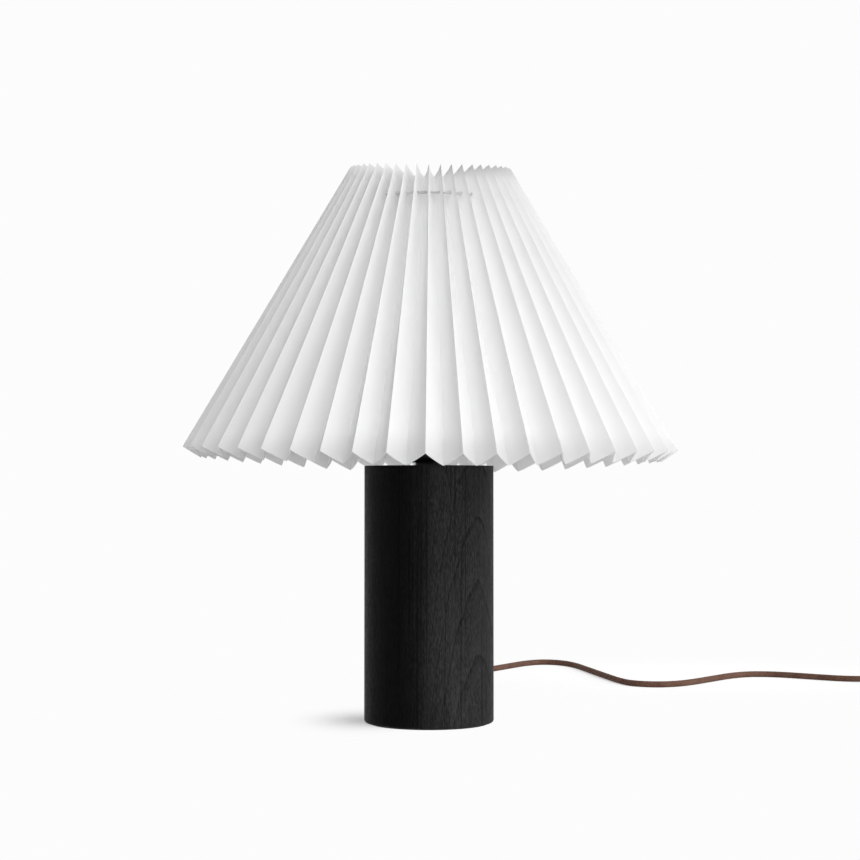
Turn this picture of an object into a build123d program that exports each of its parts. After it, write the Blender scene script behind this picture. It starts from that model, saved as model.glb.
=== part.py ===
"""Pleated table lamp: wooden column, lamp holder, bulb, pleated shade on a wire carrier, and mains cord.

Millimetres. The origin is on the floor under the column's axis, +Z is up, -Y is the front and the cord
leaves the column at the back, towards +Y.
"""
import math
import os

from build123d import *

# Shared fits
SLIP_FIT = 0.2          # radial room round a part that slides into place
SNUG_FIT = 0.05         # radial room in a threaded or pressed seat
SOFT_GAP = 0.3          # room between a soft or curved face and what carries it

# Wooden column
BASE_D = 100.0
BASE_TOP_Z = 198.5
BASE_WALL = 14.0        # wood left round the hollow underneath
FOOT_ROUND = 2.2
RIM_ROUND = 0.7
RECESS_H = 35.0
FELT_T = 1.0
FELT_INSET = 4.0
COVER_T = 2.0
COVER_LAP = 7.5         # the cover's reach past the hollow, onto the wood
COVER_SCREW_D = 3.5
COVER_SCREW_HEAD_D = 6.6
COVER_SCREW_L = 16.0
BASE_SCREWS = 3         # of the cover, and as many of the weight
BASE_SCREW_TURN = 30.0  # degrees, clear of the cord at the back

# Cast weight in the hollow
WEIGHT_H = 20.0
WEIGHT_BORE_D = 38.0
WEIGHT_EDGE = 1.0
WEIGHT_SCREW_D = 4.0
WEIGHT_SCREW_HEAD_D = 8.0
WEIGHT_SCREW_HEAD_H = 2.6
WEIGHT_SCREW_GRIP = 12.0

# Threaded lamp pipe, its washer and nut
PIPE_D = 10.0
PIPE_BORE_D = 7.2
PIPE_STUB = 2.5
PIPE_IN_HOLDER = 9.0
WASHER_D = 26.0
WASHER_T = 1.5
NUT_FLATS = 14.0
NUT_H = 5.0

# Cord and its tapered strain relief
CORD_D = 5.6
CORD_Z = 9.5
RELIEF_D = 9.6
RELIEF_TIP_D = 7.4
RELIEF_TAIL = 26.0
RELIEF_FLANGE_D = 12.0
RELIEF_FLANGE_T = 2.0
RELIEF_SEAT = 1.0       # depth of the flat seat cut into the hollow's round wall
RELIEF_GROOVES = 4
RELIEF_GROOVE_W = 1.6
RELIEF_GROOVE_DEPTH = 0.5
RELIEF_GROOVE_STEP = 4.4

# Lamp holder
NECK_D = 21.0
NECK_H = 2.5
CAP_D = 40.0
CAP_DOME = 5.5
CAP_H = 30.0
CAP_WALL = 2.2
BOSS_D = 15.0
BOSS_H = 12.0
SHELL_D = 39.0
SHELL_BORE_D = 32.0
SHELL_H = 40.0
SPIGOT_H = 8.0
FLANGE_D = 46.0
FLANGE_RISE = 2.0
FLANGE_T = 2.0
LIP_H = 2.0
LIP_BORE_D = 29.2
INSERT_RISE = 6.0       # top of the insert above the joint of cap and shell
INSERT_FOOT_T = 2.0
INSERT_FOOT_D = 35.0
THREAD_BORE_D = 27.0
THREAD_WALL = 0.5
CONTACT_T = 0.6
CONTACT_W = 6.0
CONTACT_RISE = 3.5
CONTACT_FOOT = 5.0
CONTACT_TIP = 3.0       # half length of the flat under the bulb
TAB_W = 5.0
TAB_H = 12.0
TERMINAL_PITCH = 18.0
TERMINAL_D = 3.0
TERMINAL_HEAD_D = 5.6
TERMINAL_HEAD_H = 2.0
TERMINAL_L = 8.0
SHADE_RING_D = 54.0
SHADE_RING_H = 8.0
SHADE_RING_FLUTES = 20
FLUTE_R = 1.2
FLUTE_OUT = 0.3         # middle of a flute outside the ring

# Bulb
BULB_D = 60.0
BULB_L = 105.0
BULB_CAP_D = 26.2
BULB_CAP_L = 23.0
BULB_CAP_WALL = 0.8
BULB_NECK_L = 9.0       # straight glass inside the holder's lip
BULB_NECK_D = 26.2
BULB_WALL = 0.9
BULB_BELLY = 22.0       # degrees below its middle where the globe draws in
BULB_EASE = 13.0        # softness of the curve from globe to neck
BULB_INSULATOR_H = 3.2
BULB_CONTACT_D = 9.6
BULB_CONTACT_H = 1.4

# Pleated shade
PLEATS = 48
SHEET_T = 0.5
SHADE_TURN = -0.75      # degrees, the front fold from dead ahead
RIM_FOLD_R = 185.5      # outer folds at the lower edge
RIM_FOLD_LIFT = 9.7    # their height over the column's top
RIM_SPREAD = 5.2        # the soft sheet is this much wider to the sides, narrower front to back
RIM_SADDLE = 3.2        # and this much higher at the sides, lower front and back
RIM_LEAN = 1.8          # and this much lower at the right than in the middle
RIM_FOLD_DEPTH = 13.0   # inner folds lie this far inside the outer ones
RIM_FOLD_DROP = 8.2     # and this far below them, the edge being cut square to the folds
TOP_FOLD_R = 62.4
TOP_FOLD_LIFT = 227.5
TOP_SADDLE = 3.0        # the top edge rides up at the sides as the rim does
TOP_LEAN = 0.8          # and is this much lower at the right
TOP_FOLD_DEPTH = 17.4
TOP_FOLD_DROP = 8.8
STRING_D = 2.8
STRING_DROP = 24.0      # string below the outer folds' top ends
STRING_DEPTH = 12.0     # string inside the outer folds

# Wire carrier of the shade
WIRE_D = 3.0
HUB_D = 68.0
HUB_T = 1.5
ARMS = 3
ARM_TURN = 30.0
ARM_FOOT_R = 29.5
ARM_KNEE_R = 46.0
ARM_BEND = 9.0
WELD_SINK = 0.15
RING_DROP = 30.0        # carrier ring below the outer folds' top ends

# Hand switch on the cord
SWITCH_L = 66.0
SWITCH_W = 27.0
SWITCH_END_W = 14.0
SWITCH_H = 17.0
SWITCH_EDGE = 2.4
SWITCH_CORNER = 3.5
SWITCH_CENTRE = (12.0, 297.0)
SWITCH_TURN = -16.0     # degrees about Z, from the cord running straight back
GRIP_DEPTH = 8.0
ROCKER_L = 17.4
ROCKER_W = 11.4
ROCKER_GAP = 0.3
ROCKER_TILT = 9.0
ROCKER_RISE = 2.6       # middle of the rocker's top above its pivot
ROCKER_DROP = 2.5
PIVOT_DEPTH = 2.2       # pivot below the switch's top
PIVOT_D = 2.0
PIVOT_L = 1.2
POCKET_FLOOR = 4.4      # floor of the rocker's pocket below the pivot
SWITCH_SCREW_D = 2.6
SWITCH_SCREW_HEAD_D = 5.0
SWITCH_SCREW_PITCH = 34.0
SWITCH_SCREW_L = 11.0

# Coil of the spare cord, its tie, and the plug
COIL_CENTRE = (470.0, 322.0)
COIL_R = 38.5           # outermost turn, at its centre line
COIL_PITCH = 6.4        # turn to turn and layer to layer
COIL_START = 236.5      # degrees, where the cord joins the coil
COIL_END = 1440.0       # degrees, where it leaves for the plug
COIL_STEP = 90.0
COIL_CLIMB = 180.0      # degrees of turn in which it climbs to the upper layer
COIL_PROBE = 2.0        # degrees each way, for the cord's direction on the coil
GAP_POINTS = 600        # points along the coil for its gap to itself
GAP_SKIP = 4.0          # widths of cord nearby that aren't counted in that gap
TIE_T = 1.0
TIE_W = 8.0
TIE_GAP = 0.5
TIE_TURN = 45.0
TAIL_STRAIGHT = 20.0
TAIL_SLOPE = 32.0
PLUG_W = 35.3
PLUG_H = 13.7
PLUG_NECK_W = 15.0
PLUG_NECK_H = 11.5
PLUG_L = 25.0
PLUG_SHOULDER = 12.0
PLUG_EDGE = 3.0
PLUG_TAIL = 20.0
PLUG_TAIL_D = 10.4
PLUG_TIP_D = 7.4
PIN_D = 4.0
PIN_L = 19.0
PIN_PITCH = 18.6
PIN_ROOT = 6.0
PIN_ROOT_D = 3.2
PIN_DOME = 1.5

# Radii worked out from the diameters above
BASE_R = BASE_D / 2
RECESS_R = BASE_R - BASE_WALL
RECESS_TOP = FELT_T + RECESS_H
COVER_R = RECESS_R + COVER_LAP
CORD_R = CORD_D / 2
PIPE_R = PIPE_D / 2
WIRE_R = WIRE_D / 2
WEIGHT_Z = RECESS_TOP - WEIGHT_H
PIPE_FOOT = RECESS_TOP - WASHER_T - NUT_H - PIPE_STUB
RELIEF_TIP_Y = BASE_R + RELIEF_TAIL

# Heights of the holder, counted up from the column's top
CAP_TOP = BASE_TOP_Z + CAP_H
SHELL_TOP = CAP_TOP + SHELL_H
INSERT_TOP = CAP_TOP + INSERT_RISE
FLANGE_TOP = CAP_TOP + FLANGE_RISE + FLANGE_T
HUB_TOP = FLANGE_TOP + HUB_T
BULB_TIP = INSERT_TOP + CONTACT_RISE + SNUG_FIT
BULB_CAP_FOOT = BULB_TIP + BULB_CONTACT_H + BULB_INSULATOR_H
BULB_CAP_TOP = BULB_CAP_FOOT + BULB_CAP_L

# Heights of the shade
RIM_Z = BASE_TOP_Z + RIM_FOLD_LIFT
TOP_Z = BASE_TOP_Z + TOP_FOLD_LIFT

UP = (Align.CENTER, Align.CENTER, Align.MIN)

# The cord's routes, chosen by hand along the floor
LEAD_ROUTE = [(-2, 132, CORD_R), (-7, 172, CORD_R), (-8, 211, CORD_R)]
RUN_ROUTE = [
    (40, 389, CORD_R), (63, 428, CORD_R), (81, 461, CORD_R), (93, 484, CORD_R), (114, 497, CORD_R),
    (139, 492, CORD_R), (154, 469, CORD_R), (161, 416, CORD_R), (172, 356, CORD_R), (180, 303, CORD_R),
    (193, 281, CORD_R), (218, 274, CORD_R), (241, 286, CORD_R), (264, 324, CORD_R), (290, 362, CORD_R),
    (312, 376, CORD_R), (337, 372, CORD_R), (362, 351, CORD_R), (397, 324, CORD_R),
]
LEAD_STRAIGHT = 24.0    # first run out of the strain relief
SWITCH_RUN = 26.0       # straight run into and out of the switch
COIL_RUN = 24.0         # straight run into the coil
ARC_SHARE = 0.45        # share of a run that the arc at its end takes up


def disc(radius, low, high):
    """Upright cylinder between two heights."""
    return Pos(0, 0, low) * Cylinder(radius, high - low, align=UP)


def ring(outer, inner, low, high):
    """Upright ring between two heights."""
    return disc(outer, low, high) - disc(inner, low, high)


def turned(*points):
    """Solid of revolution about Z from (radius, height) points."""
    outline = Plane.XZ * make_face(Polyline(*points, close=True))
    return revolve(outline, Axis.Z)


def around(count, radius, start, piece):
    """Copies of a piece at even angles round Z."""
    spots = PolarLocations(radius, count, start_angle=start)
    return [spot * piece for spot in spots]


def group(pieces):
    """Separate solids kept together as one node."""
    return Compound(children=[solid for piece in pieces for solid in piece.solids()])


def countersunk_screw(shank_d, head_d, length):
    """Countersunk screw, head down at z = 0, shank upwards."""
    head_h = (head_d - shank_d) / 2
    return turned((0, 0), (head_d / 2, 0), (shank_d / 2, head_h), (shank_d / 2, length), (0, length))


def countersink(shank_d, head_d, length):
    """Room for a countersunk screw, with a small clearance all round."""
    return countersunk_screw(shank_d + 2 * SNUG_FIT, head_d + 2 * SNUG_FIT, length + SNUG_FIT)


def pan_screw(shank_d, head_d, head_h, length):
    """Pan-head screw, head below z = 0, shank upwards."""
    head = fillet(disc(head_d / 2, -head_h, 0).edges().sort_by(Axis.Z)[0], head_h / 2)
    return head + disc(shank_d / 2, 0, length)


def swept_tube(path, radius):
    """Round tube along a path."""
    start = Plane(origin=path @ 0, z_dir=path % 0)
    return sweep(start * Circle(radius), path=path)


# Base


def cover_screws_at(screw):
    """The places of the cover's screws."""
    return around(BASE_SCREWS, (RECESS_R + COVER_R) / 2, BASE_SCREW_TURN, Pos(0, 0, FELT_T) * screw)


def weight_screws_at(screw):
    """The places of the weight's screws."""
    middle = (RECESS_R + WEIGHT_BORE_D / 2) / 2
    return around(BASE_SCREWS, middle, BASE_SCREW_TURN, Pos(0, 0, WEIGHT_Z) * screw)


def along_cord_exit(low, high, radius_low, radius_high):
    """Solid round the cord's exit line, between two distances from the column's axis."""
    body = turned((0, low), (radius_low, low), (radius_high, high), (0, high))
    return Pos(0, 0, CORD_Z) * Rot(-90, 0, 0) * body


def base_body():
    """Turned wooden column, hollowed underneath for the weight, the nut and the cord."""
    body = disc(BASE_R, FELT_T, BASE_TOP_Z)
    edges = body.edges().filter_by(GeomType.CIRCLE).sort_by(Axis.Z)
    body = fillet(edges[0], FOOT_ROUND)
    body = fillet(body.edges().filter_by(GeomType.CIRCLE).sort_by(Axis.Z)[-1], RIM_ROUND)
    body -= disc(COVER_R + SLIP_FIT, FELT_T, FELT_T + COVER_T)
    body -= disc(RECESS_R, FELT_T, RECESS_TOP)
    body -= disc(PIPE_R + SLIP_FIT, FELT_T, BASE_TOP_Z)
    bore = RELIEF_D / 2 + SNUG_FIT
    body -= along_cord_exit(0, BASE_R + RIM_ROUND, bore, bore)
    seat = RELIEF_FLANGE_D / 2 + SLIP_FIT
    body -= along_cord_exit(0, RECESS_R + RELIEF_SEAT, seat, seat)
    for hole in cover_screws_at(countersink(COVER_SCREW_D, COVER_SCREW_HEAD_D, COVER_SCREW_L)):
        body -= hole
    pilot = disc(WEIGHT_SCREW_D / 2 + SNUG_FIT, 0, WEIGHT_H + WEIGHT_SCREW_GRIP + SNUG_FIT)
    for hole in weight_screws_at(pilot):
        body -= hole
    return body


def felt_pad():
    """Felt disc that the lamp stands on."""
    return disc(BASE_R - FELT_INSET, 0, FELT_T)


def base_cover():
    """Round plate that closes the hollow, let into the wood."""
    plate = disc(COVER_R, FELT_T, FELT_T + COVER_T)
    for hole in cover_screws_at(countersink(COVER_SCREW_D, COVER_SCREW_HEAD_D, COVER_SCREW_L)):
        plate -= hole
    return plate


def cover_screws():
    """Countersunk wood screws of the cover."""
    return group(cover_screws_at(countersunk_screw(COVER_SCREW_D, COVER_SCREW_HEAD_D, COVER_SCREW_L)))


def base_weight():
    """Cast ring that keeps the lamp from tipping, against the hollow's ceiling."""
    cast = ring(RECESS_R - SLIP_FIT, WEIGHT_BORE_D / 2, WEIGHT_Z, RECESS_TOP)
    cast = chamfer(cast.edges().filter_by(GeomType.CIRCLE).group_by(Axis.Z)[0], WEIGHT_EDGE)
    for hole in weight_screws_at(disc(WEIGHT_SCREW_D / 2 + SLIP_FIT, 0, WEIGHT_H)):
        cast -= hole
    return cast


def weight_screws():
    """Pan-head wood screws that hold the weight up."""
    screw = pan_screw(WEIGHT_SCREW_D, WEIGHT_SCREW_HEAD_D, WEIGHT_SCREW_HEAD_H,
                      WEIGHT_H + WEIGHT_SCREW_GRIP)
    return group(weight_screws_at(screw))


def lamp_pipe():
    """Threaded pipe from the hollow up into the lamp holder."""
    return ring(PIPE_R, PIPE_BORE_D / 2, PIPE_FOOT, BASE_TOP_Z + PIPE_IN_HOLDER)


def pipe_washer():
    """Washer under the hollow's ceiling."""
    return ring(WASHER_D / 2, PIPE_R + SNUG_FIT, RECESS_TOP - WASHER_T, RECESS_TOP)


def pipe_nut():
    """Hexagon nut that pulls the pipe tight."""
    low = RECESS_TOP - WASHER_T - NUT_H
    blank = extrude(RegularPolygon(NUT_FLATS / 2, 6, major_radius=False), NUT_H)
    return Pos(0, 0, low) * blank - disc(PIPE_R + SNUG_FIT, low, low + NUT_H)


def strain_relief():
    """Tapered rubber sleeve through the wood, with a flange inside and bending grooves outside."""
    seat = RECESS_R + RELIEF_SEAT
    sleeve = along_cord_exit(seat - RELIEF_FLANGE_T, seat, RELIEF_FLANGE_D / 2, RELIEF_FLANGE_D / 2)
    sleeve += along_cord_exit(seat, BASE_R, RELIEF_D / 2, RELIEF_D / 2)
    sleeve += along_cord_exit(BASE_R, RELIEF_TIP_Y, RELIEF_D / 2, RELIEF_TIP_D / 2)
    taper = (RELIEF_D - RELIEF_TIP_D) / 2 / RELIEF_TAIL
    for index in range(RELIEF_GROOVES):
        reach = RELIEF_GROOVE_STEP * (index + 1)
        low = BASE_R + reach
        depth = RELIEF_D / 2 - taper * reach - RELIEF_GROOVE_DEPTH
        groove = along_cord_exit(low, low + RELIEF_GROOVE_W, RELIEF_D, RELIEF_D)
        groove -= along_cord_exit(low, low + RELIEF_GROOVE_W, depth, depth)
        sleeve -= groove
    bore = CORD_R + SNUG_FIT
    return sleeve - along_cord_exit(0, RELIEF_TIP_Y, bore, bore)


def inner_flex():
    """Cord inside the lamp: through the strain relief, round under the pipe and up to the holder."""
    path = FilletPolyline(
        (0, RELIEF_TIP_Y, CORD_Z), (0, 0, CORD_Z), (0, 0, BASE_TOP_Z + BOSS_H), radius=PIPE_FOOT - CORD_Z)
    return swept_tube(path, CORD_R)


# Lamp holder


def holder_cap():
    """Domed lower half of the holder, screwed onto the pipe."""
    shoulder = BASE_TOP_Z + NECK_H + CAP_DOME
    floor = BASE_TOP_Z + NECK_H + CAP_WALL
    bore = PIPE_R + SNUG_FIT
    reach = (CAP_D - NECK_D) / 2
    middle = (NECK_D / 2, shoulder)
    outer = EllipticalCenterArc(middle, reach, CAP_DOME, 270, arc_size=90)
    inner = EllipticalCenterArc(middle, reach - CAP_WALL, shoulder - floor, 270, arc_size=90)
    sides = [
        Polyline((bore, BASE_TOP_Z), (NECK_D / 2, BASE_TOP_Z), outer @ 0),
        outer,
        Polyline(outer @ 1, (CAP_D / 2, CAP_TOP), (CAP_D / 2 - CAP_WALL, CAP_TOP), inner @ 1),
        inner,
        Polyline(inner @ 0, (BOSS_D / 2, floor), (BOSS_D / 2, BASE_TOP_Z + BOSS_H),
                 (bore, BASE_TOP_Z + BOSS_H), (bore, BASE_TOP_Z)),
    ]
    return revolve(Plane.XZ * make_face(Curve() + sides), Axis.Z)


def holder_shell():
    """Upper half of the holder, with the flange that carries the shade and a lip over the thread."""
    spigot = CAP_D / 2 - CAP_WALL - SLIP_FIT
    side = SHELL_D / 2
    bore = SHELL_BORE_D / 2
    lip = LIP_BORE_D / 2
    flange_low = CAP_TOP + FLANGE_RISE
    return turned(
        (bore, CAP_TOP - SPIGOT_H), (spigot, CAP_TOP - SPIGOT_H), (spigot, CAP_TOP), (side, CAP_TOP),
        (side, flange_low), (FLANGE_D / 2, flange_low), (FLANGE_D / 2, FLANGE_TOP), (side, FLANGE_TOP),
        (side, SHELL_TOP), (lip, SHELL_TOP), (lip, SHELL_TOP - LIP_H), (bore, SHELL_TOP - LIP_H))


def terminals_at(piece):
    """The two places of the terminal screws, under the insert."""
    foot = CAP_TOP - SPIGOT_H - INSERT_FOOT_T
    return [Pos(0, side * TERMINAL_PITCH / 2, foot) * piece for side in (-1, 1)]


def holder_insert():
    """Insulating core that carries the contacts, its foot under the shell's spigot."""
    foot = CAP_TOP - SPIGOT_H
    core = disc(SHELL_BORE_D / 2 - SLIP_FIT, foot, INSERT_TOP)
    core += disc(INSERT_FOOT_D / 2, foot - INSERT_FOOT_T, foot)
    for hole in terminals_at(disc(TERMINAL_D / 2 + SNUG_FIT, 0, TERMINAL_L + SNUG_FIT)):
        core -= hole
    return core


def terminal_screws():
    """Screws that clamp the two wires under the insert."""
    return group(terminals_at(pan_screw(TERMINAL_D, TERMINAL_HEAD_D, TERMINAL_HEAD_H, TERMINAL_L)))


def thread_shell():
    """Sleeve that takes the bulb's screw cap, between the insert and the lip."""
    bore = THREAD_BORE_D / 2
    return ring(bore + THREAD_WALL, bore, INSERT_TOP, SHELL_TOP - LIP_H)


def centre_contact():
    """Sprung tongue under the bulb's end contact."""
    foot_end = -(THREAD_BORE_D / 2 - SOFT_GAP)
    knee = foot_end + CONTACT_FOOT
    crest = INSERT_TOP + CONTACT_RISE
    outline = Polyline(
        (foot_end, INSERT_TOP), (knee + CONTACT_T, INSERT_TOP), (CONTACT_T - CONTACT_TIP, crest - CONTACT_T),
        (CONTACT_TIP, crest - CONTACT_T), (CONTACT_TIP, crest), (-CONTACT_TIP, crest),
        (knee, INSERT_TOP + CONTACT_T), (foot_end, INSERT_TOP + CONTACT_T), close=True)
    return extrude(Plane.XZ * make_face(outline), CONTACT_W / 2, both=True)


def side_contact():
    """Tab that stands on the insert against the outside of the thread sleeve."""
    face = THREAD_BORE_D / 2 + THREAD_WALL + SNUG_FIT
    toe = SHELL_BORE_D / 2 - SLIP_FIT - CONTACT_T
    outline = Polyline(
        (face, INSERT_TOP), (toe, INSERT_TOP), (toe, INSERT_TOP + CONTACT_T),
        (face + CONTACT_T, INSERT_TOP + CONTACT_T), (face + CONTACT_T, INSERT_TOP + TAB_H),
        (face, INSERT_TOP + TAB_H), close=True)
    return extrude(Plane.XZ * make_face(outline), TAB_W / 2, both=True)


def shade_ring():
    """Fluted ring that screws down over the shade carrier's hub."""
    grip = ring(SHADE_RING_D / 2, SHELL_D / 2 + SNUG_FIT, HUB_TOP, HUB_TOP + SHADE_RING_H)
    flute = disc(FLUTE_R, HUB_TOP, HUB_TOP + SHADE_RING_H)
    for cut in around(SHADE_RING_FLUTES, SHADE_RING_D / 2 + FLUTE_OUT, 0, flute):
        grip -= cut
    return grip


# Bulb


def bulb_contact():
    """Solder button on the bulb's end."""
    return turned((0, BULB_TIP), (BULB_CONTACT_D / 4, BULB_TIP),
                  (BULB_CONTACT_D / 2, BULB_TIP + BULB_CONTACT_H), (0, BULB_TIP + BULB_CONTACT_H))


def bulb_insulator():
    """Dark glass cone between the button and the screw cap."""
    low = BULB_TIP + BULB_CONTACT_H
    return turned((0, low), (BULB_CONTACT_D / 2, low), (BULB_CAP_D / 2 - BULB_CAP_WALL, BULB_CAP_FOOT),
                  (0, BULB_CAP_FOOT))


def bulb_cap():
    """Screw cap, closed at its foot."""
    side = BULB_CAP_D / 2
    cup = disc(side, BULB_CAP_FOOT, BULB_CAP_TOP)
    cup = fillet(cup.edges().sort_by(Axis.Z)[0], BULB_CAP_WALL)
    return cup - disc(side - BULB_CAP_WALL, BULB_CAP_FOOT + BULB_CAP_WALL, BULB_CAP_TOP)


def bulb_side(inset):
    """Side of the glass from its crown down to the cap, set in from the outside by an amount."""
    globe = BULB_D / 2 - inset
    neck = BULB_NECK_D / 2 - inset
    middle = BULB_TIP + BULB_L - BULB_D / 2
    neck_top = BULB_CAP_TOP + BULB_NECK_L
    crown = CenterArc((0, middle), globe, 90, -90 - BULB_BELLY)
    belly = crown @ 1
    lead = (crown % 1) * BULB_EASE
    flank = Bezier(belly, belly + lead, (neck, neck_top + BULB_EASE), (neck, neck_top))
    return [crown, flank, Line((neck, neck_top), (neck, BULB_CAP_TOP))]


def bulb_glass():
    """Pear-shaped opal glass, open into the cap that it stands on."""
    outer = bulb_side(0)
    inner = bulb_side(BULB_WALL)
    ends = [Line(outer[0] @ 0, inner[0] @ 0), Line(outer[-1] @ 1, inner[-1] @ 1)]
    return revolve(Plane.XZ * make_face(Curve() + outer + inner + ends), Axis.Z)


# Shade


def fold_end(index, at_top):
    """One end of a fold's centre line: radius, height and angle in degrees. Even folds are outer ones."""
    angle = SHADE_TURN - 90 + index * 180 / PLEATS
    inner = index % 2
    right = math.cos(math.radians(angle))
    wave = math.cos(math.radians(2 * angle))
    if at_top:
        height = TOP_Z - inner * TOP_FOLD_DROP + TOP_SADDLE * wave - TOP_LEAN * right
        return TOP_FOLD_R - inner * TOP_FOLD_DEPTH, height, angle
    radius = RIM_FOLD_R - inner * RIM_FOLD_DEPTH + RIM_SPREAD * wave
    height = RIM_Z - inner * RIM_FOLD_DROP + RIM_SADDLE * wave - RIM_LEAN * right
    return radius, height, angle


def fold_corners(index, at_top):
    """The sheet's three corners at one end of a fold: before the tip, after the tip, and in the crease."""
    radius, height, angle = fold_end(index, at_top)
    other = fold_end(index + 1, at_top)[0]
    half = math.radians(180 / PLEATS)
    lean = math.atan2(other * math.sin(half), abs(other * math.cos(half) - radius))
    side = -1 if index % 2 else 1
    tip = radius + side * SHEET_T / 2 * math.sin(lean)
    crease = radius - side * SHEET_T / 2 / math.sin(lean)
    aside = SHEET_T / 2 * math.cos(lean)
    turn = Rot(0, 0, angle)
    places = [(tip, -aside, height), (tip, aside, height), (crease, 0, height)]
    return [(turn * Pos(*place)).position for place in places]


def ruled(first, second):
    """Ruled face between two straight lines, each given by its ends."""
    return Face.make_surface_from_curves(Edge.make_line(*first), Edge.make_line(*second))


def shade_sheet():
    """Pleated sheet: flat panels between outer and inner folds, closed into a cone."""
    folds = [(fold_corners(i, False), fold_corners(i, True)) for i in range(2 * PLEATS)]
    faces = []
    for index, (low, high) in enumerate(folds):
        faces.append(ruled((low[0], low[1]), (high[0], high[1])))
        faces.append(Face(Wire.make_polygon(low)))
        faces.append(Face(Wire.make_polygon(high)))
        next_low, next_high = folds[(index + 1) % len(folds)]
        faces.append(ruled((low[1], high[1]), (next_low[2], next_high[2])))
        faces.append(ruled((low[2], high[2]), (next_low[0], next_high[0])))
        faces.append(ruled((low[1], low[2]), (next_low[2], next_low[0])))
        faces.append(ruled((high[1], high[2]), (next_high[2], next_high[0])))
    return Solid(Shell(faces))


def outer_fold_radius(height):
    """Mean radius of the outer folds at a height."""
    share = (TOP_Z - height) / (TOP_Z - RIM_Z)
    return TOP_FOLD_R + (RIM_FOLD_R - TOP_FOLD_R) * share


def gather_string():
    """String threaded through the pleats, drawing the top together."""
    height = TOP_Z - STRING_DROP
    return Pos(0, 0, height) * Torus(outer_fold_radius(height) - STRING_DEPTH, STRING_D / 2)


def carrier_ring_place():
    """Radius and height of the carrier ring, against the inner folds at front and back, the narrowest."""
    height = TOP_Z - RING_DROP
    fold_top = TOP_Z - TOP_FOLD_DROP - TOP_SADDLE
    fold_low = RIM_Z - RIM_FOLD_DROP - RIM_SADDLE
    run = RIM_FOLD_R - RIM_FOLD_DEPTH - RIM_SPREAD - (TOP_FOLD_R - TOP_FOLD_DEPTH)
    slope = run / (fold_top - fold_low)
    fold_r = TOP_FOLD_R - TOP_FOLD_DEPTH + slope * (fold_top - height)
    return fold_r - (WIRE_R + SHEET_T / 2 + SOFT_GAP) * math.hypot(1, slope), height


def carrier_hub():
    """Flat ring clamped on the holder's flange."""
    return ring(HUB_D / 2, SHELL_D / 2 + SLIP_FIT, FLANGE_TOP, HUB_TOP)


def carrier_arms():
    """Bent wires from the hub up to the ring."""
    ring_r, ring_z = carrier_ring_place()
    foot_z = HUB_TOP + WIRE_R - WELD_SINK
    path = FilletPolyline(
        (ARM_FOOT_R, 0, foot_z), (ARM_KNEE_R, 0, foot_z), (ring_r, 0, ring_z), radius=ARM_BEND)
    return group(around(ARMS, 0, ARM_TURN, swept_tube(path, WIRE_R)))


def carrier_ring():
    """Wire ring that the pleats hang on."""
    ring_r, ring_z = carrier_ring_place()
    return Pos(0, 0, ring_z) * Torus(ring_r, WIRE_R)


# Hand switch, built along Y about its own middle and then laid on the cord's line

SWITCH_PLACE = Pos(SWITCH_CENTRE[0], SWITCH_CENTRE[1], 0) * Rot(0, 0, SWITCH_TURN)
SPLIT_Z = SWITCH_H / 2
PIVOT_Z = SWITCH_H - PIVOT_DEPTH
GRIP_END = SWITCH_L / 2 - GRIP_DEPTH


def switch_outline():
    """Barrel-shaped plan of the switch."""
    half = SWITCH_L / 2
    end = SWITCH_END_W / 2
    side = SWITCH_W / 2
    sides = [
        Line((-end, -half), (end, -half)),
        ThreePointArc((end, -half), (side, 0), (end, half)),
        Line((end, half), (-end, half)),
        ThreePointArc((-end, half), (-side, 0), (-end, -half)),
    ]
    return fillet(make_face(Curve() + sides).vertices(), SWITCH_CORNER)


def cord_grips():
    """Room for the cord's two ends, where the halves meet."""
    depth = 2 * GRIP_DEPTH
    pocket = Rot(90, 0, 0) * Cylinder(CORD_R + SNUG_FIT, depth)
    return [Pos(0, side * SWITCH_L / 2, SPLIT_Z) * pocket for side in (-1, 1)]


def switch_screws_at(piece):
    """The two places of the switch's screws."""
    return [Pos(0, side * SWITCH_SCREW_PITCH / 2, SNUG_FIT) * piece for side in (-1, 1)]


def switch_half(low, high, edge):
    """One half of the switch body, its outer edge rounded."""
    half = Pos(0, 0, low) * extrude(switch_outline(), high - low)
    rim = half.faces().sort_by(Axis.Z)[edge].edges()
    half = fillet(rim, SWITCH_EDGE)
    for pocket in cord_grips():
        half -= pocket
    for hole in switch_screws_at(countersink(SWITCH_SCREW_D, SWITCH_SCREW_HEAD_D, SWITCH_SCREW_L)):
        half -= hole
    return half


def switch_base():
    """Lower half of the hand switch."""
    foot = disc(SWITCH_SCREW_HEAD_D / 2 + SNUG_FIT, -SNUG_FIT, 0)
    half = switch_half(0, SPLIT_Z, 0)
    for recess in switch_screws_at(foot):
        half -= recess
    return SWITCH_PLACE * half


def switch_cover():
    """Upper half of the hand switch, with the rocker's pocket and pivot holes."""
    half = switch_half(SPLIT_Z, SWITCH_H, -1)
    pocket = Box(ROCKER_W + 2 * ROCKER_GAP, ROCKER_L + 2 * ROCKER_GAP, SWITCH_H, align=UP)
    half -= Pos(0, 0, PIVOT_Z - POCKET_FLOOR) * pocket
    pin_room = ROCKER_W + 2 * (PIVOT_L + ROCKER_GAP)
    half -= Pos(0, 0, PIVOT_Z) * Rot(0, 90, 0) * Cylinder(PIVOT_D / 2 + SNUG_FIT, pin_room)
    return SWITCH_PLACE * half


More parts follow.
